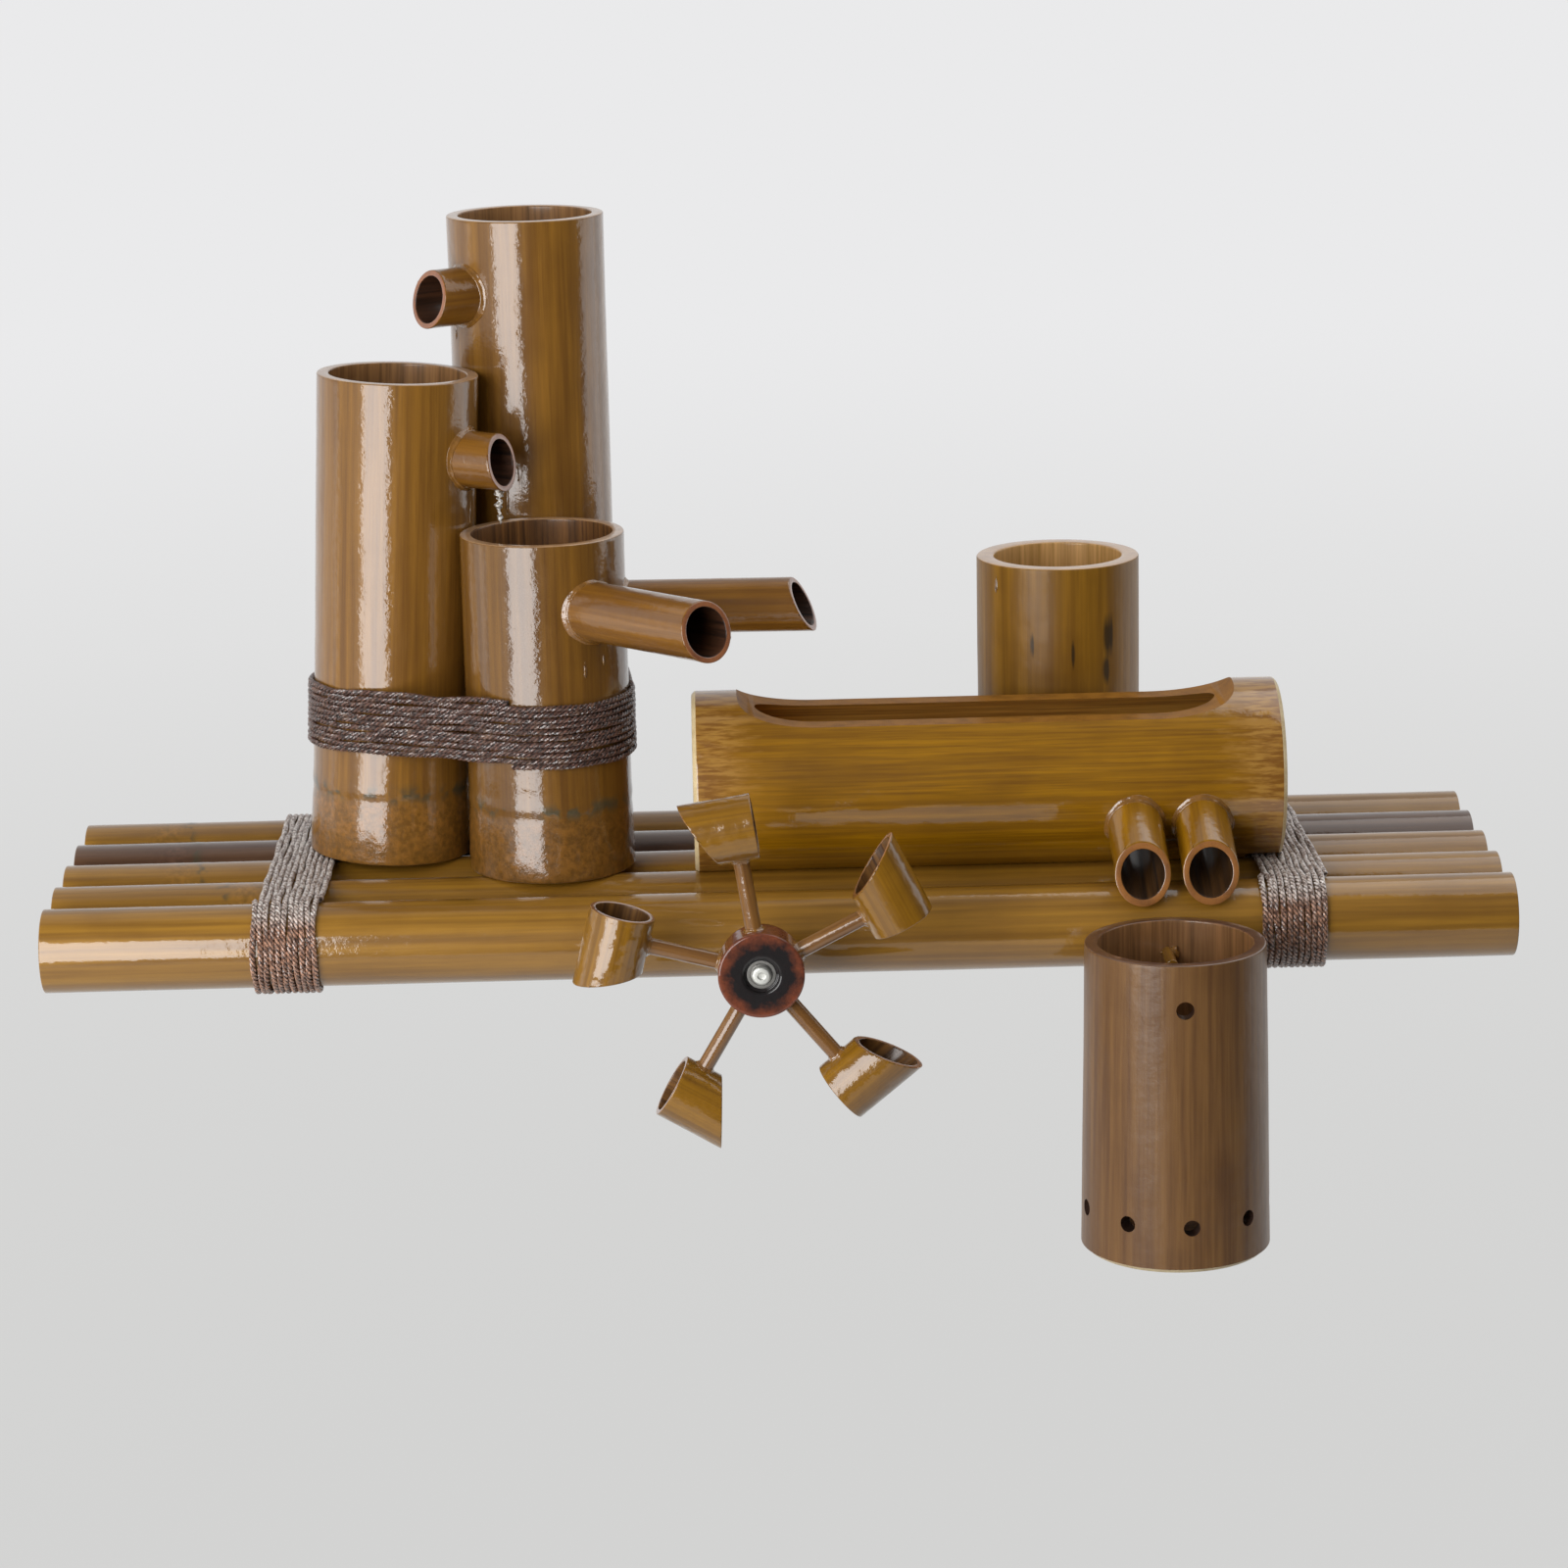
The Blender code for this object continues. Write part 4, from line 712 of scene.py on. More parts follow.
def bead(radius, carrier, width, seed, across="Y"):
    """A lumpy ring of glue round a root of a radius, on a carrier cylinder round the origin.

    Local Z runs out along the root, and across is the axis that the carrier curves over.
    """
    profile = [(radius - 0.6, -1.6), (radius + width, -0.5), (radius + width * 0.95, 0.25),
               (radius + width * 0.45, width * 0.4), (radius + 0.25, width),
               (radius - 0.6, width * 0.9)]
    shape = turned(profile, 0.5, 0.8, 72, True)
    for vert in shape.verts:
        reach = math.hypot(vert.co.x, vert.co.y)
        around = Vector((vert.co.x, vert.co.y, 0)) / reach
        lump = 1 + 0.55 * noise.noise(around * 2.3 + Vector((0, 0, seed * 5.7)))
        grown = radius + (reach - radius) * lump
        vert.co = around * grown + Vector((0, 0, vert.co.z * lump))
        side = vert.co.y if across == "Y" else vert.co.x
        vert.co.z += math.sqrt(max(carrier ** 2 - side ** 2, 0))
    return shape


def drop(width, length, height, seed):
    """A run of varnish that dried on a surface: local Z stands out of it, and X runs down."""
    shape = bmesh.new()
    bmesh.ops.create_icosphere(shape, subdivisions=4, radius=1)
    for vert in shape.verts:
        x, y, z = vert.co
        taper = 0.62 + 0.38 * x
        swell = 1 + 0.3 * noise.noise(vert.co * 1.8 + Vector((seed * 3.3, 0, 0)))
        vert.co = (x * length / 2 * swell, y * width / 2 * taper * swell, z * height * taper)
    return shape


def screw_shape(length):
    """A pan-head wood screw up local Z from its head's seat."""
    thread = [(1.7 if step % 2 else 1.25, length - 3 - step * 0.6)
              for step in range(int((length - 8) / 0.6))]
    profile = ([(0, length), (0.5, length - 1.2), (1.2, length - 2.6)] + thread
               + [(1.7, 3.0), (1.7, 0), (4, 0), (4, -0.9), (3.4, -2.0), (2, -2.5), (0, -2.6)])
    return lathed(profile, 32)


# Cord


def round_loop(circles, reach, counts=None, spacing=1.15):
    """A taut loop round circles given as (x, y, radius): points, their outward normals, counts."""
    turns = []
    for (ax, ay, ar), (bx, by, br) in zip(circles, circles[1:] + circles[:1]):
        heading = math.atan2(by - ay, bx - ax)
        turns.append(heading - math.acos((ar - br) / math.hypot(bx - ax, by - ay)))
    stretches = []
    for index, (x, y, radius) in enumerate(circles):
        begin = turns[index - 1]
        sweep = (turns[index] - begin) % math.tau
        spot = Vector((x, y))
        out = Vector((math.cos(turns[index]), math.sin(turns[index])))
        following = circles[(index + 1) % len(circles)]
        leave = spot + out * (radius + reach)
        land = Vector(following[:2]) + out * (following[2] + reach)
        stretches.append((spot, radius + reach, begin, sweep, leave, land, out))
    counts = counts or [(math.ceil(s[1] * s[3] / spacing), math.ceil((s[5] - s[4]).length / spacing))
                        for s in stretches]
    points = []
    for (spot, far, begin, sweep, leave, land, out), (bends, runs) in zip(stretches, counts):
        for step in range(bends):
            angle = begin + sweep * step / bends
            normal = Vector((math.cos(angle), math.sin(angle)))
            points.append((spot + normal * far, normal))
        points += [(leave.lerp(land, step / runs), out) for step in range(runs)]
    return points, counts


def wound_cord(loop_at, turns, pitch, lay, strand, seed):
    """Three strands twisted into a cord and wound side by side, as lists of points, and its middle.

    loop_at(climb) gives the circles that the cord is drawn round at a height in the band.
    """
    reach = 2.15 * strand
    counts = round_loop(loop_at(0), reach)[1]
    travelled = 0.0
    last = None
    strands = ([], [], [])
    middles = []
    for turn in range(turns):
        low = (turn - turns / 2) * pitch
        here = round_loop(loop_at(low), reach, counts)[0]
        later = round_loop(loop_at(low + pitch), reach, counts)[0]
        for number, ((spot, normal), (after, _)) in enumerate(zip(here, later)):
            share = number / len(here)
            flat = spot.lerp(after, share)
            wave = noise.noise(Vector((travelled / 26, turn * 0.13, seed)))
            lift = 0.3 + 0.7 * noise.noise(Vector((travelled / 15, turn * 3.1, seed + 9)))
            climb = low + pitch * share + wave * pitch * 0.42
            middle = Vector((*flat, climb)) + Vector((*normal, 0)) * max(0, lift) * strand * 0.38
            middles.append(middle)
            if last is not None:
                travelled += (middle - last).length
            last = middle
            twist = math.tau * travelled / lay
            for third, points in enumerate(strands):
                angle = twist + math.tau * third / 3
                across = Vector((*normal, 0)) * math.cos(angle) + Vector((0, 0, math.sin(angle)))
                points.append(middle + across * strand * 1.06)
    return strands, middles


def crest_above(middles, strand):
    """A mark: 0 in the grooves between a cord's strands and 1 on their crests."""
    line = KDTree(len(middles))
    for number, middle in enumerate(middles):
        line.insert(middle, number)
    line.balance()

    def crest(x, y, z):
        return min(1, max(0, (line.find((x, y, z))[2] / strand - 1.35) / 0.65))
    return crest


def cord_object(strands, strand):
    """The strands as one mesh."""
    curve = bpy.data.curves.new("strands", "CURVE")
    curve.dimensions = "3D"
    curve.bevel_depth = strand
    curve.bevel_resolution = 1
    curve.use_fill_caps = True
    for points in strands:
        spline = curve.splines.new("POLY")
        spline.points.add(len(points) - 1)
        for point, place in zip(spline.points, points):
            point.co = (*place, 1)
    drawn = bpy.data.objects.new("strands", curve)
    bpy.context.scene.collection.objects.link(drawn)
    mesh = evaluated(drawn)
    bpy.data.objects.remove(drawn, do_unlink=True)
    shape = bmesh.new()
    shape.from_mesh(mesh)
    bpy.data.meshes.remove(mesh)
    bmesh.ops.remove_doubles(shape, verts=shape.verts, dist=0.001)
    bmesh.ops.recalc_face_normals(shape, faces=shape.faces)
    return shape


# What a user would change


class StainColours(bpy.types.PropertyGroup):
    """The stain of each kind of culm, and the cord's colour."""
    __annotations__ = {key: FloatVectorProperty(name=name, description=text, subtype="COLOR",
                                                default=linear(code))
                       for key, (name, text, code) in STAINS.items()}


class WindingSizes(bpy.types.PropertyGroup):
    """How the lashings are wound, how uneven the culms are, and how wide the glue is."""
    strand: FloatProperty(name="Strand", description="Diameter of one of the cord's three strands",
                          default=0.0017, unit="LENGTH")
    lay: FloatProperty(name="Lay", description="Length of cord for one twist of its strands",
                       default=0.0088, unit="LENGTH")
    band: FloatProperty(name="Band", description="Width of each lashing from edge to edge",
                        default=0.0395, unit="LENGTH")
    turns: IntProperty(name="Turns", description="Turns of cord in each lashing", default=11)
    growth: FloatProperty(name="Growth", description="How far a thick culm departs from round",
                          default=0.0002, unit="LENGTH")
    glue: FloatProperty(name="Glue", description="Width of the glue round a spout's root",
                        default=0.0022, unit="LENGTH")


# Pieces


def pole_marks(ring, side):
    """The grey node mark round a pole, and the scarred band to one side of it."""
    return {"node": lambda x, y, z: 0.8 * math.exp(-((z - ring) / 3.0) ** 2),
            "foot": lambda x, y, z: 0.75 * math.exp(-((z - ring - side * 13) / 8) ** 4)}


def plain_marks(x, y, z):
    """No mark anywhere."""
    return 0.0


NO_MARKS = {"node": plain_marks, "foot": plain_marks}


def tube_marks(height):
    """The grey spots at an upright tube's node, and the pitted root end below it."""
    def foot(x, y, z):
        edge = 37 + 2.2 * noise.noise(Vector((x / 16, y / 16, height)))
        return min(1, max(0, (edge - z) / 3))

    def node(x, y, z):
        lift = 40 + 2.4 * noise.noise(Vector((x / 12, y / 12, height + 4)))
        return math.exp(-((z - lift) / 3.6) ** 2)
    return {"node": node, "foot": foot}


def screw_stands():
    """Each screw's node, its placing matrix and its length above the head's seat."""
    stands = []
    for label in ("short", "mid", "tall", "cup"):
        for number in (1, 2):
            name = f"{label}_screw_{number}"
            low, high = (Vector(corner) * 1000 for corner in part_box(name))
            middle = (low + high) / 2
            stands.append((name, at((middle.x, middle.y, SCREW_SINK)), high.z - SCREW_SINK))
    inset = POLE_RADIUS - SCREW_SINK
    for number, side in enumerate((-1, 1)):
        lean = side * TROUGH_SCREW_LEAN
        place = (TROUGH_MIDDLE[0] + side * TROUGH_SCREW_REACH,
                 (number - 1) * POLE_PITCH + inset * math.sin(lean),
                 POLE_Z - inset * math.cos(lean))
        stands.append((f"trough_screw_{number + 1}", at(place, ("X", lean)), TROUGH_SCREW_LENGTH))
    return stands


def pole_ridge(away):
    """The low ridge and groove of a pole's node."""
    return 0.1 * math.exp(-(away / 2.6) ** 2) - 0.08 * math.exp(-((away - 4.4) / 1.5) ** 2)


class SPOUT_OT_poles(bpy.types.Operator):
    """Builds the five poles of the raft, and gives the dowels through them their birch finish"""
    bl_idname = "spout.poles"
    bl_label = "Poles"

    def execute(self, context):
        stains = context.scene.spout_stains
        golden = bamboo_skin("stained bamboo pole, varnished", stains.pole, fibre_depth=0.3,
                             blotch_depth=0.25, peel=0.09)
        dark = bamboo_skin("smoke-dark bamboo pole, varnished", stains.dark_pole,
                           fibre_depth=0.3, blotch_depth=0.3, peel=0.09)
        cut = bamboo_cut("sawn pole end, varnished", "A8804A", "6A4824")
        inside = bamboo_inside("pith wall of a pole", "8A6A40", "4E361C")
        bore = POLE_RADIUS - POLE_WALL
        stands = [stand for _, stand, _ in screw_stands()]
        for index, (name, hollow) in enumerate(zip(POLE_NAMES, LEFT_HOLLOWS)):
            ring = hollow - POLE_END
            floor = POLE_END - RIGHT_HOLLOW
            profile = [(0, floor), (bore, floor), (bore, POLE_END), (POLE_RADIUS, POLE_END)]
            if index > 0:
                profile += [(POLE_RADIUS + pole_ridge(z - ring), z)
                            for z in steps_between(POLE_END - 1, 1 - POLE_END, 2.2)
                            if abs(z - ring) < 14]
            profile += [(POLE_RADIUS, -POLE_END), (bore, -POLE_END), (bore, ring), (0, ring)]
            matrix = at((0, (index - 2) * POLE_PITCH, POLE_Z), ("Y", math.pi / 2))
            below = [rod(4.3, -15, 0, matrix.inverted() @ stand, 32) for stand in stands
                     if abs(stand.translation.y - matrix.translation.y) < POLE_PITCH / 2]
            finished(name + "_culm", turned(profile, 0.8, 8, 80, False, index, 0.10), matrix, index,
                     [name],
                     [dark if name == "pole_fourth" else golden, cut, inside],
                     culm_faces(lambda z: POLE_RADIUS, bore),
                     pole_marks(ring, 1 if index < 2 else -1) if index > 0 else NO_MARKS,
                     cutters=below)
        birch = bare_dowel()
        for side in ("left", "right"):
            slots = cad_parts["cross_dowel_" + side].data.materials
            slots.clear()
            slots.append(birch)
        return {"FINISHED"}


class SPOUT_OT_screws(bpy.types.Operator):
    """Builds the wood screws that hold the tubes, the cup and the trough from below"""
    bl_idname = "spout.screws"
    bl_label = "Screws"

    def execute(self, context):
        zinc = turned_steel("zinc-plated steel", "A2A29C", 0.36)
        for name, stand, length in screw_stands():
            slot = block(at((0, 0, -2.4)) @ Matrix.Diagonal((12, 0.9, 1.8, 1)))
            finished(name + "_threaded", screw_shape(length), stand, 0, [name],
                     [zinc], cutters=[slot])
        return {"FINISHED"}


class SPOUT_OT_tubes(bpy.types.Operator):
    """Builds the three upright tubes"""
    bl_idname = "spout.tubes"
    bl_label = "Upright tubes"

    def execute(self, context):
        stains, sizes = context.scene.spout_stains, context.scene.spout_sizes
        skin = bamboo_skin("stained bamboo tube, varnished", stains.tube)
        # Painted shade: darker copies of the tube's skin and inside, for the short tube, which the
        # softbox lights more than the others
        deeper = bamboo_skin("darker bamboo tube with painted shade, varnished",
                             shaded(stains.tube, 0.74, 0.73, 0.75))
        cut = bamboo_cut("sawn tube rim, varnished", "BC946C", "7A583C")
        inside = bamboo_inside("stained inside of a tube", "A87A4A", "6C4C2C", 0.8)
        deep_inside = bamboo_inside("darker inside of a tube with painted shade", "84582C", "4A301A", 0.8)
        for seed, (name, stand, radius, height) in enumerate(TUBES, 1):
            outer = tube_skin(radius)
            profile = vessel_profile(outer, height, TUBE_WALL, TUBE_FLOOR, TUBE_FLOOR_THICKNESS)
            cutters = [rod(width / 2 + 0.1, 20, 60, aimed(at((0, 0, 0)), z, bearing, rise))
                       for _, tube, z, bearing, rise, width, *_ in TUBE_SPOUTS if tube == name]
            if name == "tall_tube":
                cutters.append(rod(5, 30, 50, at((0, 0, HOSE_HOLE_HEIGHT), ("X", -math.pi / 2))))
            finished(name + "_culm",
                     turned(profile, 1.0, 5, 112, False, seed, sizes.growth * 1000),
                     stand, seed, [name],
                     [deeper, cut, deep_inside] if name == "short_tube" else [skin, cut, inside],
                     culm_faces(outer, radius - TUBE_WALL), tube_marks(height), cutters=cutters)
        return {"FINISHED"}


class SPOUT_OT_tube_spouts(bpy.types.Operator):
    """Builds the spouts of the upright tubes and the glue round their roots"""
    bl_idname = "spout.tube_spouts"
    bl_label = "Tube spouts"

    def execute(self, context):
        stains, sizes = context.scene.spout_stains, context.scene.spout_sizes
        skin = bamboo_skin("thin bamboo spout, varnished", stains.spout)
        cut = bamboo_cut("sawn spout mouth, varnished", "9A5E34", "5A2C18")
        # Painted shade: the bore is near black, for the shade deep inside the spout
        inside = bamboo_inside("bore of a spout, painted dark with shade", "50301C", "22140C", 0.6)
        glue = glue_bead()
        tubes = {name: (stand, radius) for name, stand, radius, _ in TUBES}
        for seed, spout in enumerate(TUBE_SPOUTS):
            name, tube, height, bearing, rise, width, start, end, tilt, skew = spout
            stand, carrier = tubes[tube]
            matrix = aimed(stand, height, bearing, rise)
            shape = spout_shape(width, SPOUT_WALL, start, end, math.radians(tilt), math.radians(skew))
            finished(name + "_culm", shape, matrix, seed + 10, [name],
                     [skin, cut, inside], culm_faces(lambda z, r=width / 2: r, width / 2 - SPOUT_WALL),
                     NO_MARKS)
            finished(name + "_glue", bead(width / 2, carrier, sizes.glue * 1000, seed), matrix,
                     seed + 10, [], [glue])
        return {"FINISHED"}


def tube_circles(climb):
    """The three tubes' outlines at a height in their lashing."""
    lean = (TUBE_LASHING_HEIGHT + climb - MID_PLACE[2]) * math.tan(MID_LEAN)
    return [(*SHORT_PLACE[:2], SHORT_RADIUS), (*TALL_PLACE[:2], TALL_RADIUS),
            (MID_PLACE[0] + lean, MID_PLACE[1], MID_RADIUS)]


def top_highlight_painted(x, y, z):
    """How far the painted highlight reaches over a raft lashing: all the way on top of the poles."""
    return min(1, max(0, (-x - 14) / 8))


class SPOUT_OT_lashings(bpy.types.Operator):
    """Winds the three lashings from twisted cord"""
    bl_idname = "spout.lashings"
    bl_label = "Lashings"

    def execute(self, context):
        sizes = context.scene.spout_sizes
        tint = context.scene.spout_stains.cord
        hemp = soaked_cord("hemp cord soaked in varnish", tint)
        darker = soaked_cord("darker hemp cord soaked in varnish", shaded(tint, 0.3, 0.26, 0.29)[:3])
        strand, lay = sizes.strand * 500, sizes.lay * 1000
        pitch = (sizes.band * 1000 - 4.3 * strand) / sizes.turns
        outer_poles = [(0, side * 2 * POLE_PITCH, POLE_RADIUS) for side in (-1, 1)]
        # Each band ends with the mark for its painted top highlight
        bands = [("raft_lashing_" + side, lambda climb: outer_poles,
                  at((x, 0, POLE_Z), ("Y", math.pi / 2)), seed, hemp, top_highlight_painted)
                 for seed, (side, x) in enumerate(RAFT_LASHINGS)]
        bands.append(("tube_lashing", tube_circles, at((0, 0, TUBE_LASHING_HEIGHT)), 5, darker,
                      plain_marks))
        for name, loop_at, matrix, seed, cord, pale in bands:
            strands, middles = wound_cord(loop_at, sizes.turns, pitch, lay, strand, seed)
            finished(name + "_cord", cord_object(strands, strand), matrix, seed, [name],
                     [cord], None,
                     {"crest": crest_above(middles, strand), "top_highlight_painted": pale})
        return {"FINISHED"}


def trough_faces(x, y, z, normal):
    """The trough's finishes: skin, cut edge, inside and the bare ring at its ends."""
    reach = math.hypot(x, y)
    if reach < 42.8 and abs(z) < 140.6:
        return 2
    if abs(z) > 160.2 and reach > 46 and abs(normal.z) > 0.25:
        return 3
    if abs(z) > 152:
        return 1 if abs(normal.z) > 0.5 or reach < 45 else 0
    return 0 if (x * normal.x + y * normal.y) / max(reach, 0.001) > 0.85 and reach > 50 else 1


def trough_end(x, y, z):
    """A mark that grows from 0 to 1 towards the trough's two ends."""
    return min(1, max(0, (abs(z) - 112) / 46))


def mouth_cutter():
    """The shape of the trough's mouth: flat in the middle and swept up at both ends."""
    outline = []
    for step in range(17):
        angle = math.pi / 2 * step / 16
        outline.append((93.5 + 44 * math.sin(angle), 37.5 + 13.5 * (1 - math.cos(angle))))
    outline.append((137.5, 60))
    outline += [(-x, z) for x, z in reversed(outline)]
    shape = bmesh.new()
    face = shape.faces.new([shape.verts.new((-z, -60, x)) for x, z in outline])
    made = bmesh.ops.extrude_face_region(shape, geom=[face])["geom"]
    moved = [v for v in made if isinstance(v, bmesh.types.BMVert)]
    bmesh.ops.translate(shape, verts=moved, vec=(0, 120, 0))
    bmesh.ops.recalc_face_normals(shape, faces=shape.faces)
    return as_object("cutter", shape)


class SPOUT_OT_trough(bpy.types.Operator):
    """Builds the open trough and its two spouts"""
    bl_idname = "spout.trough"
    bl_label = "Trough"

    def execute(self, context):
        stains, sizes = context.scene.spout_stains, context.scene.spout_sizes
        finishes = [trough_skin(stains.trough),
                    bamboo_cut("sawn trough edge, stained", "946426", "5C3A14", 0.05),
                    # Painted light: the inside is lighter, for the light that falls through the mouth
                    # onto its back wall
                    bamboo_inside("inside of the trough with painted light", "DCA850", "96692C", 0.8),
                    bamboo_cut("bare sawn bamboo", "D8C49A", "A88A58", 0.2)]
        end = [(0, 152.5), (39, 152.5), (39, 162.5), (48.8, 162.5), (TROUGH_RADIUS, 160.3)]
        profile = end + [(r, -z) for r, z in reversed(end)]
        stand = at(TROUGH_MIDDLE, ("Y", math.pi / 2))
        # The block leaves the right lashing free under the trough
        relief = block(at((41.4 + 102, 0, 141.9 + 102)) @ Matrix.Scale(204, 4))
        cutters = [rod(42.5, -140.5, 140.5, at((0, 0, 0)), 144), mouth_cutter(), relief]
        for side in (1, 2):
            y = (side - 2) * POLE_PITCH - TROUGH_MIDDLE[1]
            cutters.append(rod(POLE_RADIUS + 0.2, -200, 200, at((TROUGH_MIDDLE[2] - POLE_Z, y, 0))))
        spouts = [(name, at((TROUGH_MIDDLE[0] + x, *TROUGH_MIDDLE[1:]), ("Z", -math.pi / 2),
                            ("Y", math.pi / 2 + TROUGH_FALL)))
                  for name, x in (("trough_spout_left", 79.1), ("trough_spout_right", 115.9))]
        radius = TROUGH_SPOUT_DIAMETER / 2
        cutters += [rod(radius + 0.1, 20, 60, stand.inverted() @ matrix) for _, matrix in spouts]
        finished("trough_culm", turned(profile, 0.8, 5, 144, False, 20, sizes.growth * 500), stand,
                 20, ["trough"], finishes, trough_faces, {"end": trough_end},
                 cutters=cutters)
        glue = glue_bead()
        wood = bamboo_skin("thin trough spout, varnished", stains.trough)
        mouth = bamboo_cut("sawn trough spout mouth, varnished", "9A6228", "5A3416")
        # Painted shade: the bore is near black, for the shade deep inside the spout
        bore = bamboo_inside("bore of a trough spout, painted dark with shade", "4E3214", "20140A", 0.5)
        for seed, (name, matrix) in enumerate(spouts):
            shape = spout_shape(TROUGH_SPOUT_DIAMETER, TROUGH_SPOUT_WALL, 42.5, 96.7,
                                math.radians(31))
            finished(name + "_culm", shape, matrix, 21 + seed, [name],
                     [wood, mouth, bore], culm_faces(lambda z: radius, radius - TROUGH_SPOUT_WALL),
                     NO_MARKS)
            finished(name + "_glue", bead(radius, TROUGH_RADIUS, sizes.glue * 1000, 4 + seed, "X"),
                     matrix, 21 + seed, [], [glue])
        return {"FINISHED"}


def cup_scar(x, y, z):
    """How dark the weathered marks on the cup are."""
    most = 0.0
    bearing = math.atan2(y, x)
    for middle, height, width, length in CUP_SCARS:
        beside = CUP_RADIUS * ((bearing - middle + math.pi) % math.tau - math.pi)
        most = max(most, math.exp(-((beside / width) ** 2 + ((z - height) / length) ** 2)))
    return most


class SPOUT_OT_cup(bpy.types.Operator):
    """Builds the cup behind the trough"""
    bl_idname = "spout.cup"
    bl_label = "Cup"

    def execute(self, context):
        finishes = [scarred_skin(context.scene.spout_stains.cup),
                    bamboo_cut("sawn cup rim, varnished", "C49A6C", "8A6038"),
                    bamboo_inside("stained inside of the cup", "D4A66A", "A07A42", 0.6)]
        # A tenth of a millimetre slimmer than its solid, so that its growth stays inside
        profile = vessel_profile(lambda z: CUP_RADIUS - 0.1, 150, CUP_WALL - 0.1, 25, 7)
        growth = context.scene.spout_sizes.growth * 700
        finished("back_cup_culm", turned(profile, 1.3, 4, 112, False, 30, growth), at(CUP_PLACE),
                 30, ["back_cup"], finishes,
                 culm_faces(lambda z: CUP_RADIUS, CUP_RADIUS - CUP_WALL), {**NO_MARKS, "scar": cup_scar})
        return {"FINISHED"}


def housing_skin(z):
    """The outer radius of the pump housing by height, as it narrows to its rim."""
    return HOUSING_FOOT_RADIUS - 2.5 * z / HOUSING_HEIGHT


def housing_faces(x, y, z, normal):
    """The housing's finishes: as a culm's, with a bare foot, and the walls of its holes painted dark for
    shade.
    """
    if z < 3.6 and math.hypot(x, y) > 46 and normal.z < -0.3:
        return 3
    number = culm_faces(housing_skin, HOUSING_BORE)(x, y, z, normal)
    return 4 if number == 1 and 18 < z < 152 else number


class SPOUT_OT_housing(bpy.types.Operator):
    """Builds the pump housing and its peg"""
    bl_idname = "spout.housing"
    bl_label = "Pump housing"

    def execute(self, context):
        stains, sizes = context.scene.spout_stains, context.scene.spout_sizes
        skin = bamboo_skin("bamboo pump housing, satin varnish", stains.housing, bands=3.5,
                           fibre_depth=0.35, coat=0.25, coat_roughness=0.25)
        finishes = [skin, bamboo_cut("sawn housing rim, varnished", "62402C", "3C2418"),
                    bamboo_inside("stained inside of the housing", "94683E", "644426", 0.8),
                    bamboo_cut("bare sawn bamboo", "DCC8A0", "B09468", 0.2),
                    # Painted shade: the walls of the holes are near black
                    bamboo_cut("hole wall, painted dark with shade", "3A2820", "1C1210", 0.3)]
        profile = vessel_profile(housing_skin, HOUSING_HEIGHT, 7, 17, 7)
        corner = profile.index((HOUSING_FOOT_RADIUS, 0.0))
        profile[corner:corner + 1] = [(50.6, 3.2), (47.8, 0)]
        holes = [(4.4, 25.5, math.radians(40 * number - 86)) for number in range(9)]
        holes.append((4.75, 144.5, -math.pi / 2))
        finished("pump_housing_culm", turned(profile, 1.0, 4, 112, False, 40, sizes.growth * 700),
                 at(HOUSING_PLACE), 40, ["pump_housing"], finishes, housing_faces,
                 NO_MARKS, cutters=[rod(radius, 35, 60, aimed(at((0, 0, 0)), z, bearing, 0), 40)
                                    for radius, z, bearing in holes])
        peg = turned([(0, 68.4), (3.2, 68.4), (3.2, 15.2), (0, 15.2)], 0.8, 2, 40)
        place = (*HOUSING_PLACE[:2], HOUSING_PLACE[2] + PEG_HEIGHT)
        matrix = at(place, ("X", -math.pi / 2))
        wood = bamboo_skin("thin bamboo peg, varnished", stains.wheel, bands=2)
        finished("housing_peg_rod", peg, matrix, 45, ["housing_peg"], [wood], None,
                 NO_MARKS)
        lump = drop(9.5, 10, 4.6, 3)
        bmesh.ops.translate(lump, verts=lump.verts, vec=(1.2, 0, 39.8))
        finished("housing_peg_glue", lump, matrix, 45, [], [glue_bead()])
        return {"FINISHED"}


def wheel_cup_shape(short_side, long_side):
    """A wheel cup along local Z: a floor between a square end and a slanted one."""
    low, bore, radius = -short_side / 2, WHEEL_CUP_BORE, WHEEL_CUP_RADIUS
    shape = turned([(0, 1.5), (bore, 1.5), (bore, long_side), (radius, long_side), (radius, low),
                    (bore, low), (bore, -1.5), (0, -1.5)], 0.6, 2.0, 72)
    slant = math.atan2(long_side - short_side, 2 * radius)
    normal = Matrix.Rotation(-slant, 3, "Y") @ Vector((0, 0, 1))
    rounded(shape, sliced(shape, (0, 0, long_side / 2), normal), 0.6)
    return shape


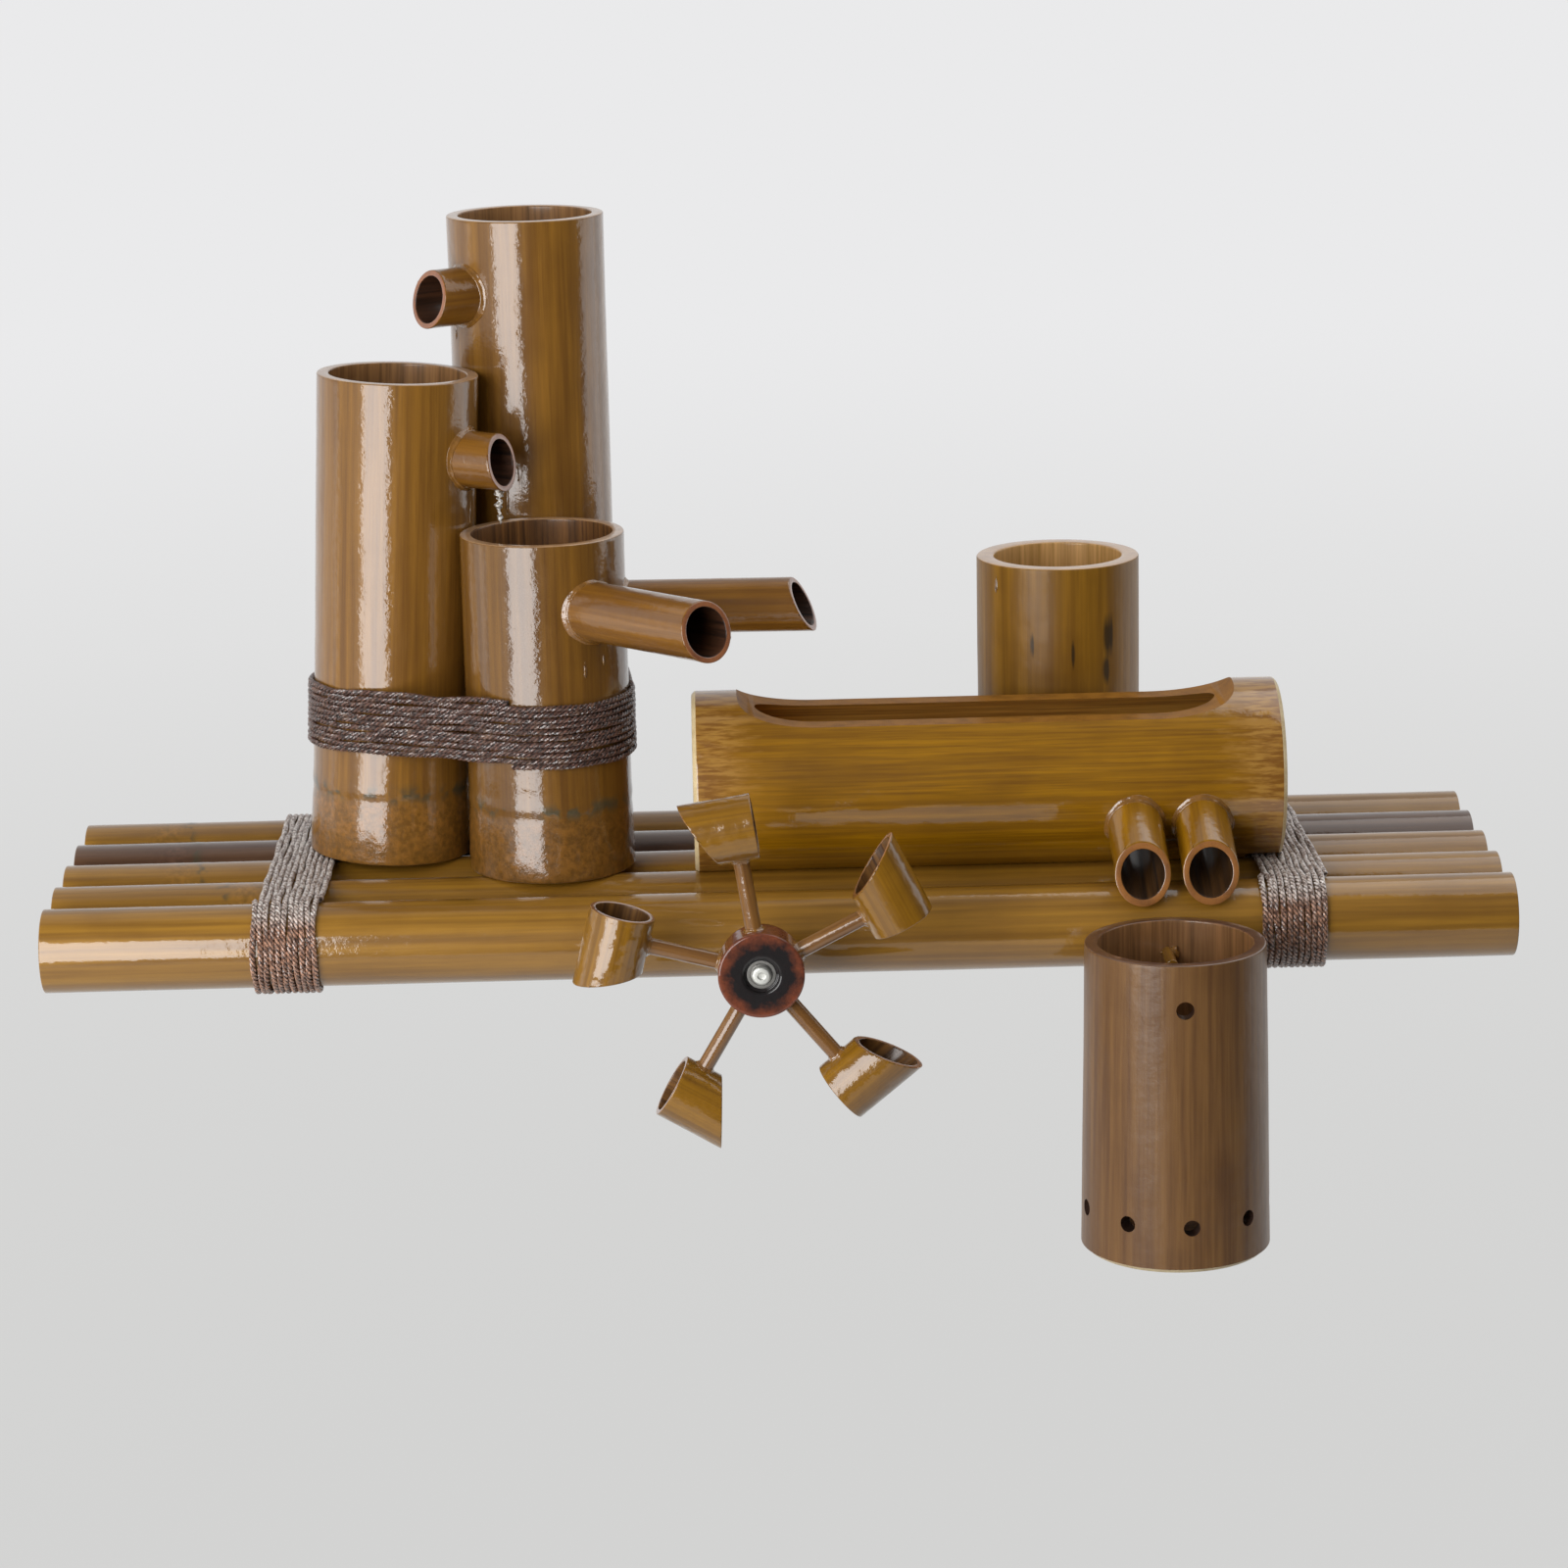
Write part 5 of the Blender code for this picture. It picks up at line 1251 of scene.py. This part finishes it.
class SPOUT_OT_wheel(bpy.types.Operator):
    """Builds the wheel's hub, arms and cups"""
    bl_idname = "spout.wheel"
    bl_label = "Water wheel"

    def execute(self, context):
        stains = context.scene.spout_stains
        skin = bamboo_skin("thin bamboo of the wheel, varnished", stains.wheel, bands=3.5, wave=7)
        arm_skin = bamboo_skin("split bamboo arm, varnished", stains.arm, bands=1.8)
        cut = bamboo_cut("sawn cup edge, varnished", "9A6434", "56301A")
        inside = bamboo_inside("stained inside of a wheel cup", "7E5628", "402814", 0.9)
        glue = glue_bead()
        hub = [(7.9, 8), (9.5, 8), (9.5, 11), (HUB_RADIUS, 11), (HUB_RADIUS, -11), (7.9, -11)]
        finished("hub_slice", turned(hub, 1.3, 1.5, 112, True, 50, 0.25),
                 at(WHEEL_MIDDLE, ("X", math.pi / 2)), 50, ["wheel_hub"],
                 [charred_slice()], body="wheel")
        arm = [(0, 63), (ARM_RADIUS, 63), (ARM_RADIUS, 13), (0, 13)]
        for index, bearing in enumerate(WHEEL_BEARINGS):
            number, seed, angle = index + 1, 51 + index, math.radians(bearing)
            spoke = at(WHEEL_MIDDLE, ("Y", math.pi / 2 - angle))
            middle = Vector(WHEEL_MIDDLE) + Vector((math.cos(angle), 0, math.sin(angle))) * CUP_REACH
            inward = at(middle, ("Y", -math.pi / 2 - angle))
            finished(f"arm_{number}_rod", turned(arm, 0.5, 3, 40, False, seed, 0.15), spoke, seed,
                     [f"wheel_arm_{number}"], [arm_skin], None, NO_MARKS, "wheel")
            finished(f"arm_{number}_root_glue", bead(ARM_RADIUS, HUB_RADIUS, 1.5, index, "X"),
                     spoke, seed, [], [glue], body="wheel")
            finished(f"arm_{number}_cup_glue", bead(ARM_RADIUS, WHEEL_CUP_RADIUS, 1.3, index + 7),
                     inward, seed, [], [glue], body="wheel")
            finished(f"cup_{number}_culm",
                     wheel_cup_shape(CUP_SHORT_SIDES[index], CUP_LONG_SIDES[index]),
                     at(middle, ("Y", -angle)), seed + 10, [f"wheel_cup_{number}"],
                     [skin, cut, inside],
                     culm_faces(lambda z: WHEEL_CUP_RADIUS, WHEEL_CUP_BORE), NO_MARKS, "wheel")
        return {"FINISHED"}


class SPOUT_OT_axle(bpy.types.Operator):
    """Builds the axle bolt, its bush, washer and spacer"""
    bl_idname = "spout.axle"
    bl_label = "Axle"

    def execute(self, context):
        bright = turned_steel("bright turned steel", "DCDCD6", 0.48)
        dull = turned_steel("oiled turned steel", "8C8A86", 0.5)
        zinc = turned_steel("zinc-plated steel washer", "A2A29C", 0.36)
        front = -2 * POLE_PITCH - POLE_RADIUS
        seat = at((WHEEL_MIDDLE[0], front, POLE_Z), ("X", math.pi / 2))
        head = softened([(0, 60.9), (1.7, 60.9), (2.1, 61.4), (4.2, 61.25), (5.2, 60.4), (5.2, 58.4),
                         (3, 58.4), (3, -26), (0, -30)], 0.35)
        bush = softened([(3.3, 8), (5.6, 8), (5.8, 7.7), (6.0, 8), (7.8, 8), (7.8, -11),
                         (3.3, -11)], 0.25, True)
        washer = softened([(3.3, 38.8), (9, 38.8), (9, 37.3), (3.3, 37.3)], 0.3, True)
        spacer = turned([(3.3, 37), (7, 37), (7, 0.3), (3.3, 0.3)], 0.6, 2, 64, True)
        finished("axle_bolt_head", lathed(head, 64), seat, 0, ["axle_bolt"], [bright])
        finished("axle_washer_ring", lathed(washer, 64, True), seat, 0, ["axle_washer"],
                 [zinc])
        finished("axle_spacer_turned", spacer, seat, 0, ["axle_spacer"],
                 [bare_dowel()])
        finished("hub_bush_turned", lathed(bush, 64, True), at(WHEEL_MIDDLE, ("X", math.pi / 2)), 0,
                 ["hub_bush"], [dull], body="wheel")
        return {"FINISHED"}


class SPOUT_OT_drips(bpy.types.Operator):
    """Adds the runs and drops of varnish that dried on the culms"""
    bl_idname = "spout.drips"
    bl_label = "Varnish drips"

    def execute(self, context):
        clear = dried_varnish()
        for seed, (stand, radius, height, bearing, width, length, out) in enumerate(DRIPS):
            matrix = stand @ at((0, 0, height), ("Z", math.radians(bearing)), ("Y", math.pi / 2))
            shape = drop(width, length, out, seed)
            bmesh.ops.translate(shape, verts=shape.verts, vec=(0, 0, radius))
            finished(f"varnish_drip_{seed + 1}", shape, matrix, seed, [], [clear])
        lip = aimed(MID, MID_SPOUT_HEIGHT, MID_BEARING, 0) @ Vector((15.2, 0, 64.5))
        beads = [((2.1 + math.sin(z * 0.9)) * (1 - z / 32), -z) for z in range(19)]
        string = turned([(0, 1.2)] + beads + [(0, -19.5)], 0.4, 0.5, 28)
        for vert in string.verts:
            swing = Vector((vert.co.z * 0.55 + 3.1, vert.co.z * 0.4, 0))
            vert.co.x += 1.3 * noise.noise(swing)
            vert.co.y += 1.3 * noise.noise(swing + Vector((0, 9, 4)))
        finished("glue_string", string, at(lip), 60, [], [pale_glue_painted_sheen()])
        return {"FINISHED"}


class SPOUT_OT_stage(bpy.types.Operator):
    """Sets up the floor, the lights and the camera"""
    bl_idname = "spout.stage"
    bl_label = "Stage"

    def execute(self, context):
        shape = bmesh.new()
        bmesh.ops.create_circle(shape, cap_ends=True, segments=96, radius=90)
        bmesh.ops.translate(shape, verts=shape.verts, vec=(0, 0, FLOOR_Z))
        floor = as_object("floor", shape)
        floor.data.materials.append(pale_board())
        context.scene.world = studio_world()
        for name, place, aim, size, height, radiance in LAMPS:
            light = bpy.data.lights.new(name, "AREA")
            light.shape = "RECTANGLE"
            light.size, light.size_y = size, height
            light.energy = radiance * math.pi * size * height
            lamp = bpy.data.objects.new(name, light)
            context.scene.collection.objects.link(lamp)
            back = (Vector(place) - Vector(aim)).to_track_quat("Z", "Y")
            lamp.matrix_world = Matrix.Translation(place) @ back.to_matrix().to_4x4()
        camera = bpy.data.cameras.new("camera")
        camera.sensor_width = SENSOR_WIDTH
        camera.sensor_fit = "HORIZONTAL"
        camera.lens = CAMERA_FOCUS / PHOTO_WIDTH * SENSOR_WIDTH
        camera.clip_end = 200
        eye = bpy.data.objects.new("camera", camera)
        context.scene.collection.objects.link(eye)
        eye.matrix_world = at(CAMERA_PLACE, ("Z", CAMERA_YAW), ("X", math.pi / 2 - CAMERA_PITCH),
                              ("Z", -CAMERA_ROLL))
        context.scene.camera = eye
        context.scene.view_settings.view_transform = "Standard"
        return {"FINISHED"}


def seen_directly(tree, mirrored):
    """1 for what the camera sees, and the share given for what gloss and glass show."""
    path = add(tree, "LightPath")
    both = add(tree, "Math", {0: path["Is Glossy Ray"], 1: path["Is Transmission Ray"]},
               operation="MAXIMUM")
    shown = add(tree, "Math", {0: both, 1: mirrored})
    return add(tree, "Math", {0: path["Is Camera Ray"], 1: shown}, operation="MAXIMUM")


def pale_board():
    """Matt card, pale by the object and behind it, and dark towards the unlit front.

    Seen directly it keeps one even tone, with the object's soft shadow.
    """
    material, tree = new_material("matt card", Roughness=0.9)
    place = add(tree, "TexCoord")["Object"]
    reach = from_axis(tree, place)
    depth = add(tree, "SeparateXYZ", {"Vector": place})["Y"]
    back = add(tree, "MapRange", {"Value": depth, "From Min": -0.5, "From Max": 0.4},
               interpolation_type="SMOOTHSTEP")
    near = add(tree, "MapRange", {"Value": reach, "From Min": 1.15, "From Max": 1.4, "To Min": 1,
                                  "To Max": 0}, interpolation_type="SMOOTHSTEP")
    lit = add(tree, "Math", {0: back, 1: near}, operation="MAXIMUM")
    card = add(tree, "Mix", {0: lit, 6: "303030", 7: "808080"})
    far = add(tree, "MapRange", {"Value": reach, "From Min": 0.3, "From Max": 6},
              interpolation_type="SMOOTHSTEP")
    tone = add(tree, "Mix", {0: far, 6: "D8D8D7", 7: "EAEAEB"})
    glow = add(tree, "Emission", {"Color": tone})["Emission"]
    seen = add(tree, "MapRange", {"Value": reach, "From Min": 0.5, "From Max": 3, "To Min": 0.93})
    share = add(tree, "Math", {0: seen, 1: seen_directly(tree, lit)})
    board = tree.nodes["Principled BSDF"].outputs[0]
    mixed = add(tree, "MixShader", {0: share, 1: board, 2: glow})
    tree.links.new(mixed[0], tree.nodes["Material Output"].inputs["Surface"])
    return fed(material, Base_Color=card)


def studio_world():
    """Soft light from above, a pale wall where it is seen, and a dark room in mirrors."""
    world = bpy.data.worlds.new("studio")
    world.use_nodes = True
    tree = world.node_tree
    parts = add(tree, "SeparateXYZ", {"Vector": add(tree, "TexCoord")["Generated"]})
    back = add(tree, "MapRange", {"Value": parts["Y"], "From Min": -0.1, "From Max": 0.35},
               interpolation_type="SMOOTHSTEP")
    low = add(tree, "MapRange", {"Value": parts["Z"], "From Min": 0.2, "To Min": 0.85, "To Max": 0.4})
    above = add(tree, "Mix", {0: parts["Z"], 6: (0.14, 0.14, 0.14, 1), 7: (0.75, 0.75, 0.76, 1)})
    dim = add(tree, "Mix", {0: add(tree, "LightPath")["Is Glossy Ray"], 6: above,
                            7: (0.02, 0.02, 0.02, 1)})
    wall = add(tree, "Math", {0: back, 1: low})
    tone = add(tree, "Mix", {0: seen_directly(tree, wall), 6: dim, 7: "EAEAEB"})
    tree.links.new(tone, tree.nodes["Background"].inputs["Color"])
    return world


class SPOUT_PT_panel(bpy.types.Panel):
    """Lists the sizes, the colours and the operators in order"""
    bl_idname = "SPOUT_PT_panel"
    bl_label = "Water spout"
    bl_space_type = "VIEW_3D"
    bl_region_type = "UI"
    bl_category = "Water spout"

    def draw(self, context):
        for group in (context.scene.spout_stains, context.scene.spout_sizes):
            for label in group.__annotations__:
                self.layout.prop(group, label)
        for operator in OPERATORS:
            self.layout.operator(operator.bl_idname)


OPERATORS = (SPOUT_OT_poles, SPOUT_OT_screws, SPOUT_OT_tubes, SPOUT_OT_tube_spouts,
             SPOUT_OT_lashings, SPOUT_OT_trough, SPOUT_OT_cup, SPOUT_OT_housing, SPOUT_OT_wheel,
             SPOUT_OT_axle, SPOUT_OT_drips, SPOUT_OT_stage)


def register():
    """Registers the classes."""
    for item in (StainColours, WindingSizes, *OPERATORS, SPOUT_PT_panel):
        bpy.utils.register_class(item)
    bpy.types.Scene.spout_stains = PointerProperty(type=StainColours)
    bpy.types.Scene.spout_sizes = PointerProperty(type=WindingSizes)


def unregister():
    """Takes the classes out again."""
    del bpy.types.Scene.spout_stains
    del bpy.types.Scene.spout_sizes
    for item in (SPOUT_PT_panel, *reversed(OPERATORS), WindingSizes, StainColours):
        bpy.utils.unregister_class(item)


def main():
    """Builds every piece."""
    register()
    for operator in OPERATORS:
        group, name = operator.bl_idname.split(".")
        getattr(getattr(bpy.ops, group), name)()


if __name__ == "__main__":
    main()
